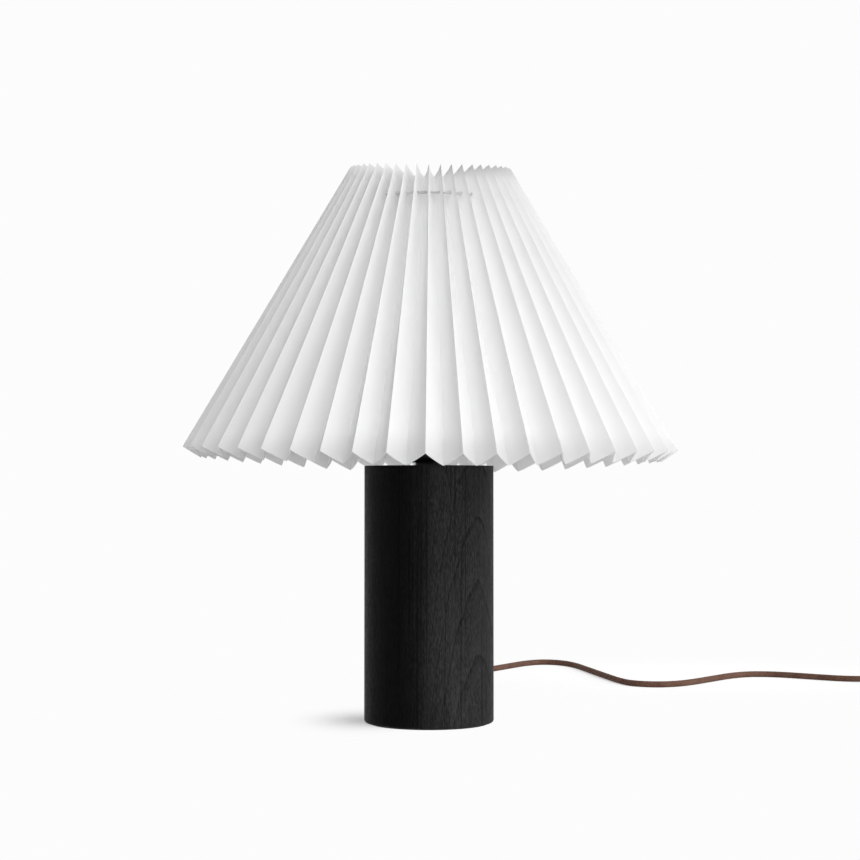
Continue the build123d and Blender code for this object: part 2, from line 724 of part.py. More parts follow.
def switch_rocker():
    """Rocker with its pivot stubs, tipped to its off stop."""
    reach = ROCKER_L / 2
    rise = ROCKER_RISE + reach * math.tan(math.radians(ROCKER_TILT))
    outline = Polyline(
        (-reach, -ROCKER_DROP), (reach, -ROCKER_DROP), (reach, rise), (0, ROCKER_RISE), (-reach, rise),
        close=True)
    profile = make_face(outline) & Circle(reach)
    body = extrude(Plane.YZ * profile, ROCKER_W / 2, both=True)
    body += Rot(0, 90, 0) * Cylinder(PIVOT_D / 2, ROCKER_W + 2 * PIVOT_L)
    return SWITCH_PLACE * Pos(0, 0, PIVOT_Z) * Rot(-ROCKER_TILT, 0, 0) * body


def switch_screws():
    """Countersunk screws that hold the switch's halves together."""
    screw = countersunk_screw(SWITCH_SCREW_D, SWITCH_SCREW_HEAD_D, SWITCH_SCREW_L)
    return SWITCH_PLACE * group(switch_screws_at(screw))


# Cord


def switch_port(side, distance):
    """Point on the switch's axis, a distance out from its middle."""
    return (SWITCH_PLACE * Pos(0, side * distance, SPLIT_Z)).position


def coil_z(sweep_deg):
    """Height of the coil's centre line: two layers, with the climb in the half turn at the middle."""
    low = CORD_R + TIE_T + TIE_GAP
    share = (sweep_deg - (COIL_END - COIL_START) / 2) / COIL_CLIMB + 0.5
    share = min(max(share, 0), 1)
    return low + COIL_PITCH * share * share * (3 - 2 * share)


def coil_point(sweep_deg):
    """Point of the coil's centre line, which spirals in and out again at a steady rate."""
    middle = (COIL_END - COIL_START) / 2
    turns_in = min(sweep_deg, 2 * middle - sweep_deg) / 360
    angle = math.radians(COIL_START + sweep_deg)
    radius = COIL_R - COIL_PITCH * turns_in
    return Vector(COIL_CENTRE[0] + radius * math.cos(angle), COIL_CENTRE[1] + radius * math.sin(angle),
                  coil_z(sweep_deg))


def coil_heading(sweep_deg):
    """Direction of the cord along the coil; square to the radius at both ends."""
    angle = math.radians(COIL_START + sweep_deg)
    if sweep_deg in (0, COIL_END - COIL_START):
        return Vector(-math.sin(angle), math.cos(angle), 0)
    return (coil_point(sweep_deg + COIL_PROBE) - coil_point(sweep_deg - COIL_PROBE)).normalized()


def biarc(start, start_dir, end, end_dir):
    """Two tangent arcs between two points with given directions."""
    gap = end - start
    both = start_dir + end_dir
    spread = 2 * (1 - start_dir.dot(end_dir))
    along = gap.dot(both)
    if spread < 1e-9:
        reach = gap.dot(gap) / (4 * gap.dot(end_dir))
    else:
        reach = (math.sqrt(along * along + spread * gap.dot(gap)) - along) / spread
    middle = (start + end + (start_dir - end_dir) * reach) * 0.5
    return [TangentArc(start, middle, tangent=start_dir),
            TangentArc(end, middle, tangent=end_dir * -1)]


def coil_path():
    """Centre line of the coil: straight entry, its turns, then down and straight to the plug."""
    total = COIL_END - COIL_START
    count = round(total / COIL_STEP)
    stops = [total * i / count for i in range(count + 1)]
    first = coil_point(0)
    path = [Line(first - coil_heading(0) * CORD_D, first)]
    for low, high in zip(stops, stops[1:]):
        path += biarc(coil_point(low), coil_heading(low), coil_point(high), coil_heading(high))
    ahead = coil_heading(total)
    leave = coil_point(total) + ahead * TAIL_STRAIGHT
    land = leave + ahead * TAIL_SLOPE
    land = Vector(land.X, land.Y, PLUG_H / 2)
    path.append(Line(coil_point(total), leave))
    path += biarc(leave, ahead, land, ahead)
    path.append(Line(land, land + ahead * CORD_D))
    return Wire(path)


def plug_place():
    """Where the cord meets the plug."""
    total = COIL_END - COIL_START
    end = coil_point(total) + coil_heading(total) * (TAIL_STRAIGHT + TAIL_SLOPE + CORD_D)
    return Pos(end.X, end.Y, PLUG_H / 2)


def rounded_route(points):
    """Path through the points, with an arc at each as large as its two runs allow."""
    points = [Vector(*point) for point in points]
    radii = []
    for before, here, after in zip(points, points[1:], points[2:]):
        turn = math.radians((here - before).get_angle(after - here))
        shorter = min((here - before).length, (after - here).length)
        radii.append(ARC_SHARE * shorter / math.tan(turn / 2))
    print("  bend radii", " ".join(f"{radius:.0f}" for radius in radii))
    return Wire(FilletPolyline(*points, radius=radii).edges())


def lead_route():
    """Cord from the strain relief to the switch."""
    start = [(0, RELIEF_TIP_Y, CORD_Z), (0, RELIEF_TIP_Y + LEAD_STRAIGHT, CORD_Z)]
    end = [switch_port(-1, GRIP_END + SWITCH_RUN), switch_port(-1, GRIP_END)]
    return start + LEAD_ROUTE + [tuple(point) for point in end]


def run_route():
    """Cord from the switch to the coil."""
    start = [switch_port(1, GRIP_END), switch_port(1, GRIP_END + SWITCH_RUN)]
    join = coil_point(0) - coil_heading(0) * CORD_D
    end = [join - coil_heading(0) * COIL_RUN, join]
    return [tuple(point) for point in start] + RUN_ROUTE + [tuple(point) for point in end]


def cord_tube(name, path):
    """Tube along a path, with its volume set against its section times its length."""
    tube = swept_tube(path, CORD_R)
    section = math.pi * CORD_R ** 2 * path.length
    print(f"  {name} length {path.length:.1f}, volume {tube.volume:.0f}, section x length {section:.0f}")
    return tube


def coil_gap(path):
    """Least gap of the coil to itself, measured on points along its centre line."""
    points = [path @ (i / GAP_POINTS) for i in range(GAP_POINTS + 1)]
    apart = math.ceil(GAP_SKIP * CORD_D / path.length * GAP_POINTS)
    least = min(
        (points[i] - points[j]).length
        for i in range(GAP_POINTS + 1) for j in range(i + apart, GAP_POINTS + 1))
    return least - CORD_D


def cord_lead():
    """Cord between the lamp and the switch."""
    return cord_tube("cord_lead", rounded_route(lead_route()))


def cord_run():
    """Cord between the switch and the coil."""
    return cord_tube("cord_run", rounded_route(run_route()))


def cord_coil():
    """Spare cord, wound into a coil of two layers."""
    path = coil_path()
    print(f"  coil gap to itself {coil_gap(path):.2f}")
    return cord_tube("cord_coil", path)


def cord_tie():
    """Strap round the coil's turns."""
    inner = COIL_R - COIL_PITCH * (COIL_END - COIL_START) / 720
    width = COIL_R - inner + CORD_D + 2 * TIE_GAP
    height = COIL_PITCH + CORD_D + 2 * TIE_GAP
    middle = (COIL_R + inner) / 2
    corner = CORD_R
    strap = RectangleRounded(width + 2 * TIE_T, height + 2 * TIE_T, corner + TIE_T)
    strap -= RectangleRounded(width, height, corner)
    band = extrude(Plane.XZ * strap, TIE_W / 2, both=True)
    lift = height / 2 + TIE_T
    return Pos(COIL_CENTRE[0], COIL_CENTRE[1], 0) * Rot(0, 0, TIE_TURN) * Pos(middle, 0, lift) * band


def plug_section(width, height, distance, corner):
    """Rounded section of the plug, a distance along it."""
    return Plane.XZ.offset(-distance) * RectangleRounded(width, height, corner)


def plug_pins_at(piece):
    """The two places of the plug's pins, pointing away from the cord."""
    face = PLUG_TAIL + PLUG_L
    return [Pos(side * PIN_PITCH / 2, face - PIN_ROOT, 0) * Rot(-90, 0, 0) * piece for side in (-1, 1)]


def plug_body():
    """Flat two-pin plug with a tapered tail round the cord."""
    tail = Rot(-90, 0, 0) * Cone(PLUG_TIP_D / 2, PLUG_TAIL_D / 2, PLUG_TAIL, align=UP)
    neck = plug_section(PLUG_NECK_W, PLUG_NECK_H, PLUG_TAIL, PLUG_EDGE)
    shoulder = plug_section(PLUG_W, PLUG_H, PLUG_TAIL + PLUG_SHOULDER, PLUG_EDGE)
    face = plug_section(PLUG_W, PLUG_H, PLUG_TAIL + PLUG_L, PLUG_EDGE)
    body = tail + loft([neck, shoulder], ruled=True) + loft([shoulder, face], ruled=True)
    for hole in plug_pins_at(disc(PIN_ROOT_D / 2 + SNUG_FIT, 0, PIN_ROOT)):
        body -= hole
    return plug_place() * body


def plug_pins():
    """Round pins with domed tips and thinner roots in the plug."""
    pin = disc(PIN_D / 2, PIN_ROOT, PIN_ROOT + PIN_L)
    pin = fillet(pin.edges().sort_by(Axis.Z)[-1], PIN_DOME)
    pin += disc(PIN_ROOT_D / 2, 0, PIN_ROOT)
    return plug_place() * group(plug_pins_at(pin))


PIECES = [
    base_body, base_weight, weight_screws, base_cover, cover_screws, felt_pad, lamp_pipe, pipe_washer,
    pipe_nut, strain_relief, inner_flex, holder_cap, holder_shell, holder_insert, thread_shell,
    centre_contact, side_contact, terminal_screws, shade_ring, bulb_glass, bulb_cap, bulb_insulator,
    bulb_contact, carrier_hub, carrier_arms, carrier_ring, shade_sheet, gather_string, cord_lead,
    switch_base, switch_cover, switch_rocker, switch_screws, cord_run, cord_coil, cord_tie, plug_body,
    plug_pins,
]


def main():
    """Build every piece and write it under its own name."""
    os.makedirs("parts", exist_ok=True)
    for piece in PIECES:
        shape = piece()
        print(f"{piece.__name__}: {len(shape.solids())} solid(s), {shape.volume:.0f} mm3")
        export_step(shape, f"parts/{piece.__name__}.step")


main()
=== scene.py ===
"""Scene of the pleated table lamp: camera, cords, pleated shade, finishes and a white studio.

Metres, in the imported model's frame: the origin is on the floor under the column, +Z is up and -Y is the front.
"""

import logging
import math
from dataclasses import dataclass
from enum import Enum
from functools import cached_property
from typing import Any, Callable, Iterable, Sequence

import bpy
from mathutils import Matrix, Vector


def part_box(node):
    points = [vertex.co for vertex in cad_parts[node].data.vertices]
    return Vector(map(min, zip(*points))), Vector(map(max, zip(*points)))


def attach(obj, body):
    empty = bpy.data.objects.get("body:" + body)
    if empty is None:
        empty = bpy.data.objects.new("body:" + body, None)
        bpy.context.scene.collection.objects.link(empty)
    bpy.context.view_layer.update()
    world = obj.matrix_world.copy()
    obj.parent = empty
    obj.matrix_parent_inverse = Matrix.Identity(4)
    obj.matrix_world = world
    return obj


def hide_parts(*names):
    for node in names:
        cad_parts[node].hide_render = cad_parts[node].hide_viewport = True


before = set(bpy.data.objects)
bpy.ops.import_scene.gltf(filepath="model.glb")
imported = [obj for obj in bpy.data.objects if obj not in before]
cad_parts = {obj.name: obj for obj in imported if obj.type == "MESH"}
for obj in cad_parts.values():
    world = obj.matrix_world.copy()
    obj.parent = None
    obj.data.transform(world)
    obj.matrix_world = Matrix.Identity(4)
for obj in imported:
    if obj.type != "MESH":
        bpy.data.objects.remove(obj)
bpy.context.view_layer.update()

LOG = logging.getLogger("lamp")
MM = 0.001
LAMP = "lamp"
ROCKER = "rocker"

Point = tuple[float, float, float]
Colour = tuple[float, float, float, float]
WHITE: Colour = (1.0, 1.0, 1.0, 1.0)


def tone(*levels: int) -> Colour:
    """Turn a display colour into the linear colour that shaders take.

    Args:
        levels: Red, green and blue, from 0 to 255.

    Returns:
        The linear colour, opaque.
    """
    def linear(share: float) -> float:
        return share / 12.92 if share <= 0.04045 else ((share + 0.055) / 1.055) ** 2.4
    red, green, blue = (linear(level / 255) for level in levels)
    return red, green, blue, 1.0


def grey(level: float) -> Colour:
    """Opaque grey of a linear level."""
    return level, level, level, 1.0


def scaled(colour: Colour, factor: float, lift: float = 0.0) -> Colour:
    """Make a colour darker or lighter.

    Args:
        colour: The linear colour.
        factor: What each level is multiplied by.
        lift: What is added to each level.

    Returns:
        The new colour, opaque and no lighter than white.
    """
    red, green, blue = (min(1.0, level * factor + lift) for level in colour[:3])
    return red, green, blue, 1.0


def operator(kind: str, swapped: bool = False) -> Callable[..., "Wire"]:
    """Make a method of Wire that adds one Math node.

    Args:
        kind: The node's operation.
        swapped: Whether the wire comes after the other value.

    Returns:
        The method.
    """
    def method(wire: "Wire", *others: Any) -> "Wire":
        values = (*others, wire) if swapped else (wire, *others)
        return wire.graph.node("ShaderNodeMath", dict(enumerate(values)), operation=kind)
    return method


@dataclass(frozen=True)
class Wire:
    """A node's output, with arithmetic that adds Math nodes to its tree; angles are in radians."""

    graph: "Graph"
    socket: bpy.types.NodeSocket

    __add__ = __radd__ = operator("ADD")
    __mul__ = __rmul__ = operator("MULTIPLY")
    __sub__ = operator("SUBTRACT")
    __rsub__ = operator("SUBTRACT", swapped=True)
    __truediv__ = operator("DIVIDE")
    __pow__ = operator("POWER")
    __abs__ = operator("ABSOLUTE")
    sin = operator("SINE")
    cos = operator("COSINE")
    floor = operator("FLOOR")
    fraction = operator("FRACT")
    modulo = operator("MODULO")
    above = operator("GREATER_THAN")
    most = operator("MAXIMUM")

    def out(self, key: int | str) -> "Wire":
        """Another output of the same node."""
        return Wire(self.graph, Graph.pick(self.socket.node.outputs, key))

    def ramp(self, low: float, high: float) -> "Wire":
        """Soft step from nought at low to one at high."""
        return self.graph.node(
            "ShaderNodeMapRange", {"Value": self, "From Min": low, "From Max": high},
            interpolation_type="SMOOTHSTEP")


@dataclass
class Graph:
    """One node tree, filled through a single node-making method."""

    tree: bpy.types.NodeTree

    @classmethod
    def fresh(cls, owner: bpy.types.Material | bpy.types.World) -> "Graph":
        """The node tree of a material or a world, emptied."""
        owner.use_nodes = True
        owner.node_tree.nodes.clear()
        return cls(owner.node_tree)

    @staticmethod
    def pick(sockets: Iterable[bpy.types.NodeSocket], key: int | str) -> bpy.types.NodeSocket:
        """Find a socket in use by its number or name.

        Args:
            sockets: A node's inputs or outputs.
            key: The number among the sockets in use, or the socket's name.

        Returns:
            The socket.
        """
        live = [socket for socket in sockets if socket.enabled]
        if isinstance(key, int):
            return live[key]
        return next(socket for socket in live if socket.name == key)

    def node(self, kind: str, sockets: dict[int | str, Any] | None = None, output: int | str = 0,
             **settings: Any) -> Wire:
        """Add a node, set it up, then fill or link its inputs.

        Args:
            kind: The node's type.
            sockets: Values or wires for its inputs, by number or name.
            output: Which output to return, by number or name.
            settings: The node's own properties.

        Returns:
            The chosen output, or an empty wire for a node without outputs.
        """
        made = self.tree.nodes.new(kind)
        for name, value in settings.items():
            setattr(made, name, value)
        for key, value in (sockets or {}).items():
            socket = self.pick(made.inputs, key)
            if isinstance(value, Wire):
                self.tree.links.new(value.socket, socket)
            else:
                socket.default_value = value
        return Wire(self, self.pick(made.outputs, output) if made.outputs else None)

    @cached_property
    def place(self) -> Wire:
        """Object coordinates, in metres."""
        return self.node("ShaderNodeTexCoord", output="Object")

    def split(self, vector: Wire) -> tuple[Wire, Wire, Wire]:
        """Components of a vector."""
        parts = self.node("ShaderNodeSeparateXYZ", {0: vector})
        return parts, parts.out(1), parts.out(2)

    def join(self, x: Any, y: Any, z: Any) -> Wire:
        """Vector from its components."""
        return self.node("ShaderNodeCombineXYZ", {0: x, 1: y, 2: z})

    def vector(self, operation: str, *values: Any, output: str = "Vector") -> Wire:
        """Add one Vector Math node on the given values."""
        return self.node("ShaderNodeVectorMath", dict(enumerate(values)), output, operation=operation)

    def length(self, vector: Wire) -> Wire:
        """Length of a vector."""
        return self.vector("LENGTH", vector, output="Value")

    def span(self, x: Any, y: Any) -> Wire:
        """Length of a flat vector, from its components."""
        return self.length(self.join(x, y, 0.0))

    def noise(self, grain: float | Point, detail: float = 2.0, roughness: float = 0.5) -> Wire:
        """Noise from nought to one, read at the tree's place.

        Args:
            grain: Its fineness, in grains to the metre, for all axes or for each.
            detail: Octaves.
            roughness: Share of the finer octaves.

        Returns:
            The noise value.
        """
        place = self.place
        if isinstance(grain, tuple):
            place, grain = self.vector("MULTIPLY", place, grain), 1.0
        return self.node("ShaderNodeTexNoise", {
            "Vector": place, "Scale": grain, "Detail": detail, "Roughness": roughness})

    def blend(self, share: Any, first: Any, second: Any) -> Wire:
        """Mix of two colours."""
        return self.node("ShaderNodeMix", {"Factor": share, "A": first, "B": second}, data_type="RGBA")

    def relief(self, height: Wire, depth: float, strength: float = 1.0) -> Wire:
        """Normal from a height field.

        Args:
            height: The height, from nought to one.
            depth: What a height of one stands for, in metres.
            strength: Share of the effect.

        Returns:
            The normal.
        """
        return self.node("ShaderNodeBump", {"Strength": strength, "Distance": depth, "Height": height})

    def principled(self, **sockets: Any) -> Wire:
        """Surface shader; words of a socket's name are joined by underscores."""
        return self.node("ShaderNodeBsdfPrincipled", {
            name.replace("_", " "): value for name, value in sockets.items()})


@dataclass(frozen=True)
class Finish:
    """A surface finish, made into a material once."""

    name: str

    def material(self) -> bpy.types.Material:
        """Make the material, or find it if it was made before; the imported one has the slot's bare name."""
        label = f"{self.name}_finish"
        found = bpy.data.materials.get(label)
        if found:
            return found
        made = bpy.data.materials.new(label)
        graph = Graph.fresh(made)
        graph.node("ShaderNodeOutputMaterial", {"Surface": self.surface(graph)})
        return made

    def surface(self, graph: Graph) -> Wire:
        """Shader of the finish; each finish has its own."""
        raise NotImplementedError


@dataclass(frozen=True)
class BlackWood(Finish):
    """Open-grained wood under a black stain, its growth rings curved round a pith outside the column."""

    column_r: float = 50 * MM
    pith_away: float = 80 * MM
    flat_side: float = math.radians(-42)
    # Painted highlight: the side towards which the colour turns paler, standing in for the light's reflection.
    painted_highlight_side: float = math.radians(-55)
    ring_gap: float = 3.8 * MM
    slope: float = -0.073
    wander: float = 5 * MM
    ripple: float = 0.5 * MM
    wander_grain: Point = (24, 24, 5)
    ripple_grain: Point = (330, 330, 24)
    pore_grain: Point = (1700, 1700, 95)
    fibre_grain: Point = (1800, 1800, 240)
    patch_grain: Point = (60, 60, 9)
    streak_grain: Point = (230, 230, 5)
    line_grain: Point = (480, 480, 3.5)
    pore_depth: float = 0.25 * MM
    stained: tuple[Colour, Colour] = ((0.0026, 0.0026, 0.0027, 1), (0.0085, 0.0086, 0.0088, 1))
    # Painted highlight: the paler tones the wood takes on that side; the stained tones are its own dark colour.
    painted_highlight_tones: tuple[Colour, Colour] = ((0.015, 0.0151, 0.0155, 1), (0.061, 0.0612, 0.0623, 1))
    black: Colour = (0.0008, 0.0008, 0.0009, 1)

    def surface(self, graph: Graph) -> Wire:
        """Pores in dark lines along the rings, smoother wood between, and a painted highlight that makes the
        colour paler on the side towards the right front.
        """
        x, y, z = graph.split(graph.place)
        radius = graph.span(
            x + math.cos(self.flat_side) * self.pith_away, y + math.sin(self.flat_side) * self.pith_away)
        wander = graph.noise(self.wander_grain) * self.wander
        ripple = graph.noise(self.ripple_grain) * self.ripple
        ring = ((radius + z * self.slope + wander + ripple) / self.ring_gap).fraction()
        early = 1 - ring.ramp(0.0, 0.13)
        late = ring.ramp(0.6, 0.98)
        pores = graph.noise(self.pore_grain, 1.0).ramp(0.46, 0.6)
        fibre = graph.noise(self.fibre_grain, 2.0, 0.6).ramp(0.36, 0.66)
        patch = graph.noise(self.patch_grain)
        streak = graph.noise(self.streak_grain)
        line = graph.noise(self.line_grain, 1.0).ramp(0.55, 0.68)
        # Painted highlight: the colour turns paler towards the right-front side where the light's reflection
        # falls, with streaks at its edge.
        painted_highlight_facing = (x * math.cos(self.painted_highlight_side) + y * math.sin(self.painted_highlight_side)) / self.column_r
        painted_highlight_share = (painted_highlight_facing + streak * 0.2 - 0.1).ramp(0.5, 1.1)
        pit = pores * (early * 0.55 + 0.35)
        light = (fibre * 0.4 + patch * 0.5 + late * 0.06 - early * 0.14).ramp(0.05, 0.9)
        wood = graph.blend(painted_highlight_share, graph.blend(light, *self.stained), graph.blend(light, *self.painted_highlight_tones))
        colour = graph.blend(pit * 0.4 + early * 0.07 + line * 0.42, wood, self.black)
        height = fibre * 0.3 + late * 0.05 - pit * 0.8
        return graph.principled(
            Base_Color=colour, Roughness=0.36 + fibre * 0.14 + pit * 0.34, Specular_IOR_Level=0.035,
            Normal=graph.relief(height, self.pore_depth))


@dataclass(frozen=True)
class PleatedPaper(Finish):
    """White shade paper with faint fibres and worn creases; its map counts pleats across and runs up."""

    sheer: float = 0.05
    sheer_rim: float = 0.4
    rim_z: float = 202 * MM
    rim_band: float = 20 * MM
    # Painted shade along the top edge of the pleats: how grey it is and over what height.
    painted_top_shade: float = 0.6
    painted_top_shade_band: float = 22 * MM
    top_z: float = 434 * MM
    string_r: float = 64.0 * MM
    string_z: float = 401.7 * MM
    aside: float = 1.2 * MM
    # Painted shade where the string passes through the paper: its reach and strength.
    painted_hole_shade: tuple[float, float] = (1.3 * MM, 2.1 * MM)
    painted_hole_shade_strength: float = 0.06
    fibre_grain: Point = (900, 900, 500)
    cloud_grain: float = 55.0

    def surface(self, graph: Graph) -> Wire:
        """White and lighter at the creases, with painted shade as brownish spots at the string's holes and grey
        along the top edge; sheer at the rim.
        """
        across, _, _ = graph.split(graph.node("ShaderNodeUVMap", uv_map="UVMap"))
        x, y, z = graph.split(graph.place)
        crease = abs((across * 2).fraction() - 0.5).ramp(0.44, 0.5)
        fibre = graph.noise(self.fibre_grain, 3.0, 0.65)
        cloud = graph.noise(self.cloud_grain, 3.0)
        colour = graph.blend((fibre * 0.4 + cloud * 0.6).ramp(0.3, 0.7), grey(0.975), grey(0.99))
        colour = graph.blend(crease * 0.5, colour, grey(0.995))
        # Painted shade: a brownish ring where the string passes through the paper stands in for the holes and
        # the shade in them.
        away = graph.span(graph.span(x - self.aside, y) - self.string_r, z - self.string_z)
        painted_hole_shade = 1 - away.ramp(*self.painted_hole_shade)
        colour = graph.blend(painted_hole_shade * self.painted_hole_shade_strength, colour, tone(140, 116, 100))
        # Painted shade: the colour turns grey towards the top edge of the pleats.
        painted_top_shade_mask = z.ramp(self.top_z - self.painted_top_shade_band, self.top_z)
        colour = graph.blend(painted_top_shade_mask * self.painted_top_shade, colour, tone(215, 215, 216))
        inner = z.ramp(self.rim_z, self.rim_z + self.rim_band)
        sheer = self.sheer_rim + inner * (self.sheer - self.sheer_rim)
        sheet = graph.principled(
            Base_Color=colour, Roughness=0.82 + cloud * 0.1, Specular_IOR_Level=0.25,
            Normal=graph.relief(fibre, 0.06 * MM, 0.5))
        through = graph.node("ShaderNodeBsdfTranslucent", {"Color": grey(0.98)})
        return graph.node("ShaderNodeMixShader", {0: sheer, 1: sheet, 2: through})


@dataclass(frozen=True)
class BraidedTextile(Finish):
    """Brown braid over a cord; its map runs round the cord and along it in metres."""

    strands: int = 16
    lay: float = 5.2 * MM

    def surface(self, graph: Graph) -> Wire:
        """Two crossing sets of strands, over and under, with painted shade in the grooves between them."""
        turn, along, _ = graph.split(graph.node("ShaderNodeUVMap", uv_map="UVMap"))
        rise = along / self.lay
        half = self.strands / 2
        left = turn * half + rise
        right = turn * half - rise
        over = (left.floor() + right.floor()) * 0.5
        check = over.fraction().above(0.25)
        ridge_left = 1 - abs(left.fraction() * 2 - 1) ** 2
        ridge_right = 1 - abs(right.fraction() * 2 - 1) ** 2
        height = ridge_left * check + ridge_right * (1 - check)
        fleck = graph.noise(900.0, 2.0)
        patch = graph.noise(90.0, 2.0)
        yarn = graph.blend((fleck * 0.6 + patch * 0.4).ramp(0.3, 0.7), tone(104, 71, 57), tone(137, 103, 87))
        # Painted shade: the colour darkens to deep brown where the strands dip between their ridges.
        dark = graph.blend(height.ramp(0.0, 0.6), tone(67, 44, 35), yarn)
        return graph.principled(
            Base_Color=dark, Roughness=0.9 - height * 0.12, Specular_IOR_Level=0.3,
            Normal=graph.relief(height + fleck * 0.2, 0.35 * MM, 0.8))


@dataclass(frozen=True)
class Moulding(Finish):
    """Moulded or rubbery stuff with a fine sparked skin."""

    colour: Colour = (0.014, 0.014, 0.0145, 1.0)
    roughness: float = 0.42
    grain: float = 1400.0

    def surface(self, graph: Graph) -> Wire:
        """Even colour with slight wear and a pitted skin."""
        skin = graph.noise(self.grain, 2.0)
        cloud = graph.noise(70.0, 3.0)
        light = scaled(self.colour, 1.25, 0.002)
        return graph.principled(
            Base_Color=graph.blend(cloud.ramp(0.35, 0.75), self.colour, light),
            Roughness=self.roughness + cloud * 0.12 + skin * 0.08,
            Normal=graph.relief(skin, 0.03 * MM, 0.6))


@dataclass(frozen=True)
class PlatedMetal(Finish):
    """Turned or pressed metal with a plated skin."""

    colour: Colour = (0.56, 0.56, 0.55, 1.0)
    roughness: float = 0.28
    turning: Point = (60, 60, 3500)

    def surface(self, graph: Graph) -> Wire:
        """Fine turning lines and a little dullness in patches."""
        lines = graph.noise(self.turning)
        dull = graph.noise(160.0, 3.0)
        dim = scaled(self.colour, 0.78)
        return graph.principled(
            Base_Color=graph.blend(dull.ramp(0.4, 0.8), self.colour, dim), Metallic=1.0,
            Roughness=self.roughness + lines * 0.1 + dull * 0.12, Normal=graph.relief(lines, 0.02 * MM, 0.5))


@dataclass(frozen=True)
class CastIron(Finish):
    """Rough grey casting."""

    def surface(self, graph: Graph) -> Wire:
        """Pitted skin with rusty-brown specks."""
        pits = graph.noise(420.0, 4.0, 0.65)
        specks = graph.noise(900.0, 2.0).ramp(0.62, 0.75)
        colour = graph.blend(specks * 0.4, (0.06, 0.06, 0.062, 1), (0.12, 0.07, 0.045, 1))
        return graph.principled(
            Base_Color=colour, Metallic=0.7, Roughness=0.6 + pits * 0.3, Normal=graph.relief(pits, 0.4 * MM))


@dataclass(frozen=True)
class Felt(Finish):
    """Pressed black felt."""

    grain: Point = (1100, 1500, 1300)

    def surface(self, graph: Graph) -> Wire:
        """Matted fibres, dull all over."""
        mat = graph.noise(self.grain, 4.0, 0.7)
        colour = graph.blend(mat.ramp(0.35, 0.75), grey(0.008), (0.045, 0.044, 0.043, 1))
        return graph.principled(
            Base_Color=colour, Roughness=0.97, Sheen_Weight=0.3, Normal=graph.relief(mat, 0.4 * MM))


@dataclass(frozen=True)
class OpalGlass(Finish):
    """Bulb glass, milky and smooth."""

    colour: Colour = (0.86, 0.855, 0.83, 1.0)
    roughness: float = 0.16

    def surface(self, graph: Graph) -> Wire:
        """Even milk with a slightly uneven polish."""
        cloud = graph.noise(40.0, 3.0)
        dim = scaled(self.colour, 0.96)
        return graph.principled(
            Base_Color=graph.blend(cloud.ramp(0.3, 0.7), self.colour, dim),
            Roughness=self.roughness + cloud * 0.06, Coat_Weight=0.5, Coat_Roughness=0.08)


@dataclass(frozen=True)
class Weave(Finish):
    """Woven band or twisted string."""

    dark: Colour = grey(0.01)
    light: Colour = (0.035, 0.035, 0.036, 1.0)
    gap: float = 0.9 * MM

    def surface(self, graph: Graph) -> Wire:
        """Yarns over and under, with loose fibre, and painted shade where they dip."""
        x, y, z = graph.split(graph.place)
        warp = ((x + y) * (math.tau / self.gap)).sin()
        weft = ((x - y + z) * (math.tau / self.gap)).sin()
        yarn = warp * weft * 0.5 + 0.5
        fibre = graph.noise(1500.0, 3.0, 0.6)
        # Painted shade: the colour darkens where the yarns and fibres dip, following the bump height.
        colour = graph.blend((yarn * 0.6 + fibre * 0.5).ramp(0.2, 0.9), self.dark, self.light)
        return graph.principled(
            Base_Color=colour, Roughness=0.88, Normal=graph.relief(yarn * 0.6 + fibre * 0.4, 0.2 * MM, 0.7))


class Dress(Enum):
    """The finishes of the lamp, by the record's slot."""

    BLACK_WOOD = BlackWood("black_wood")
    CAST_WEIGHT = CastIron("cast_weight")
    ZINC_STEEL = PlatedMetal("zinc_steel", (0.5, 0.51, 0.52, 1.0), 0.34)
    FELT = Felt("felt")
    BLACK_RUBBER = Moulding("black_rubber", grey(0.016), 0.62, 900.0)
    BROWN_TEXTILE = BraidedTextile("brown_textile")
    BLACK_PLASTIC = Moulding("black_plastic")
    WHITE_CERAMIC = Moulding("white_ceramic", (0.74, 0.73, 0.7, 1.0), 0.5, 700.0)
    BRASS = PlatedMetal("brass", (0.7, 0.5, 0.2, 1.0), 0.3)
    OPAL_GLASS = OpalGlass("opal_glass")
    NICKEL = PlatedMetal("nickel", (0.66, 0.64, 0.6, 1.0), 0.2)
    BLACK_GLASS = Moulding("black_glass", (0.01, 0.01, 0.012, 1.0), 0.14, 300.0)
    WHITE_PAINT = Moulding("white_paint", (0.8, 0.8, 0.79, 1.0), 0.36, 500.0)
    WHITE_PAPER = PleatedPaper("white_paper")
    WHITE_STRING = Weave("white_string", (0.92, 0.918, 0.91, 1.0), (0.98, 0.978, 0.97, 1.0), 1.1 * MM)
    BLACK_STRAP = Weave("black_strap")

    @property
    def slot(self) -> str:
        """The record's slot that the finish belongs to."""
        return self.value.name

    @property
    def material(self) -> bpy.types.Material:
        """The finish's material."""
        return self.value.material()


def new_object(name: str, data: bpy.types.ID) -> bpy.types.Object:
    """Put a mesh, a curve or a camera in the scene under a name."""
    made = bpy.data.objects.new(name, data)
    bpy.context.scene.collection.objects.link(made)
    return made


def plain_mesh(source: bpy.types.Object) -> bpy.types.Mesh:
    """The mesh that an object has once its modifiers are worked out."""
    depsgraph = bpy.context.evaluated_depsgraph_get()
    return bpy.data.meshes.new_from_object(source.evaluated_get(depsgraph))


def sharpen(mesh: bpy.types.Mesh, degrees: float) -> None:
    """Shade a mesh smooth, apart from edges sharper than an angle."""
    mesh.polygons.foreach_set("use_smooth", [True] * len(mesh.polygons))
    mesh.set_sharp_from_angle(angle=math.radians(degrees))


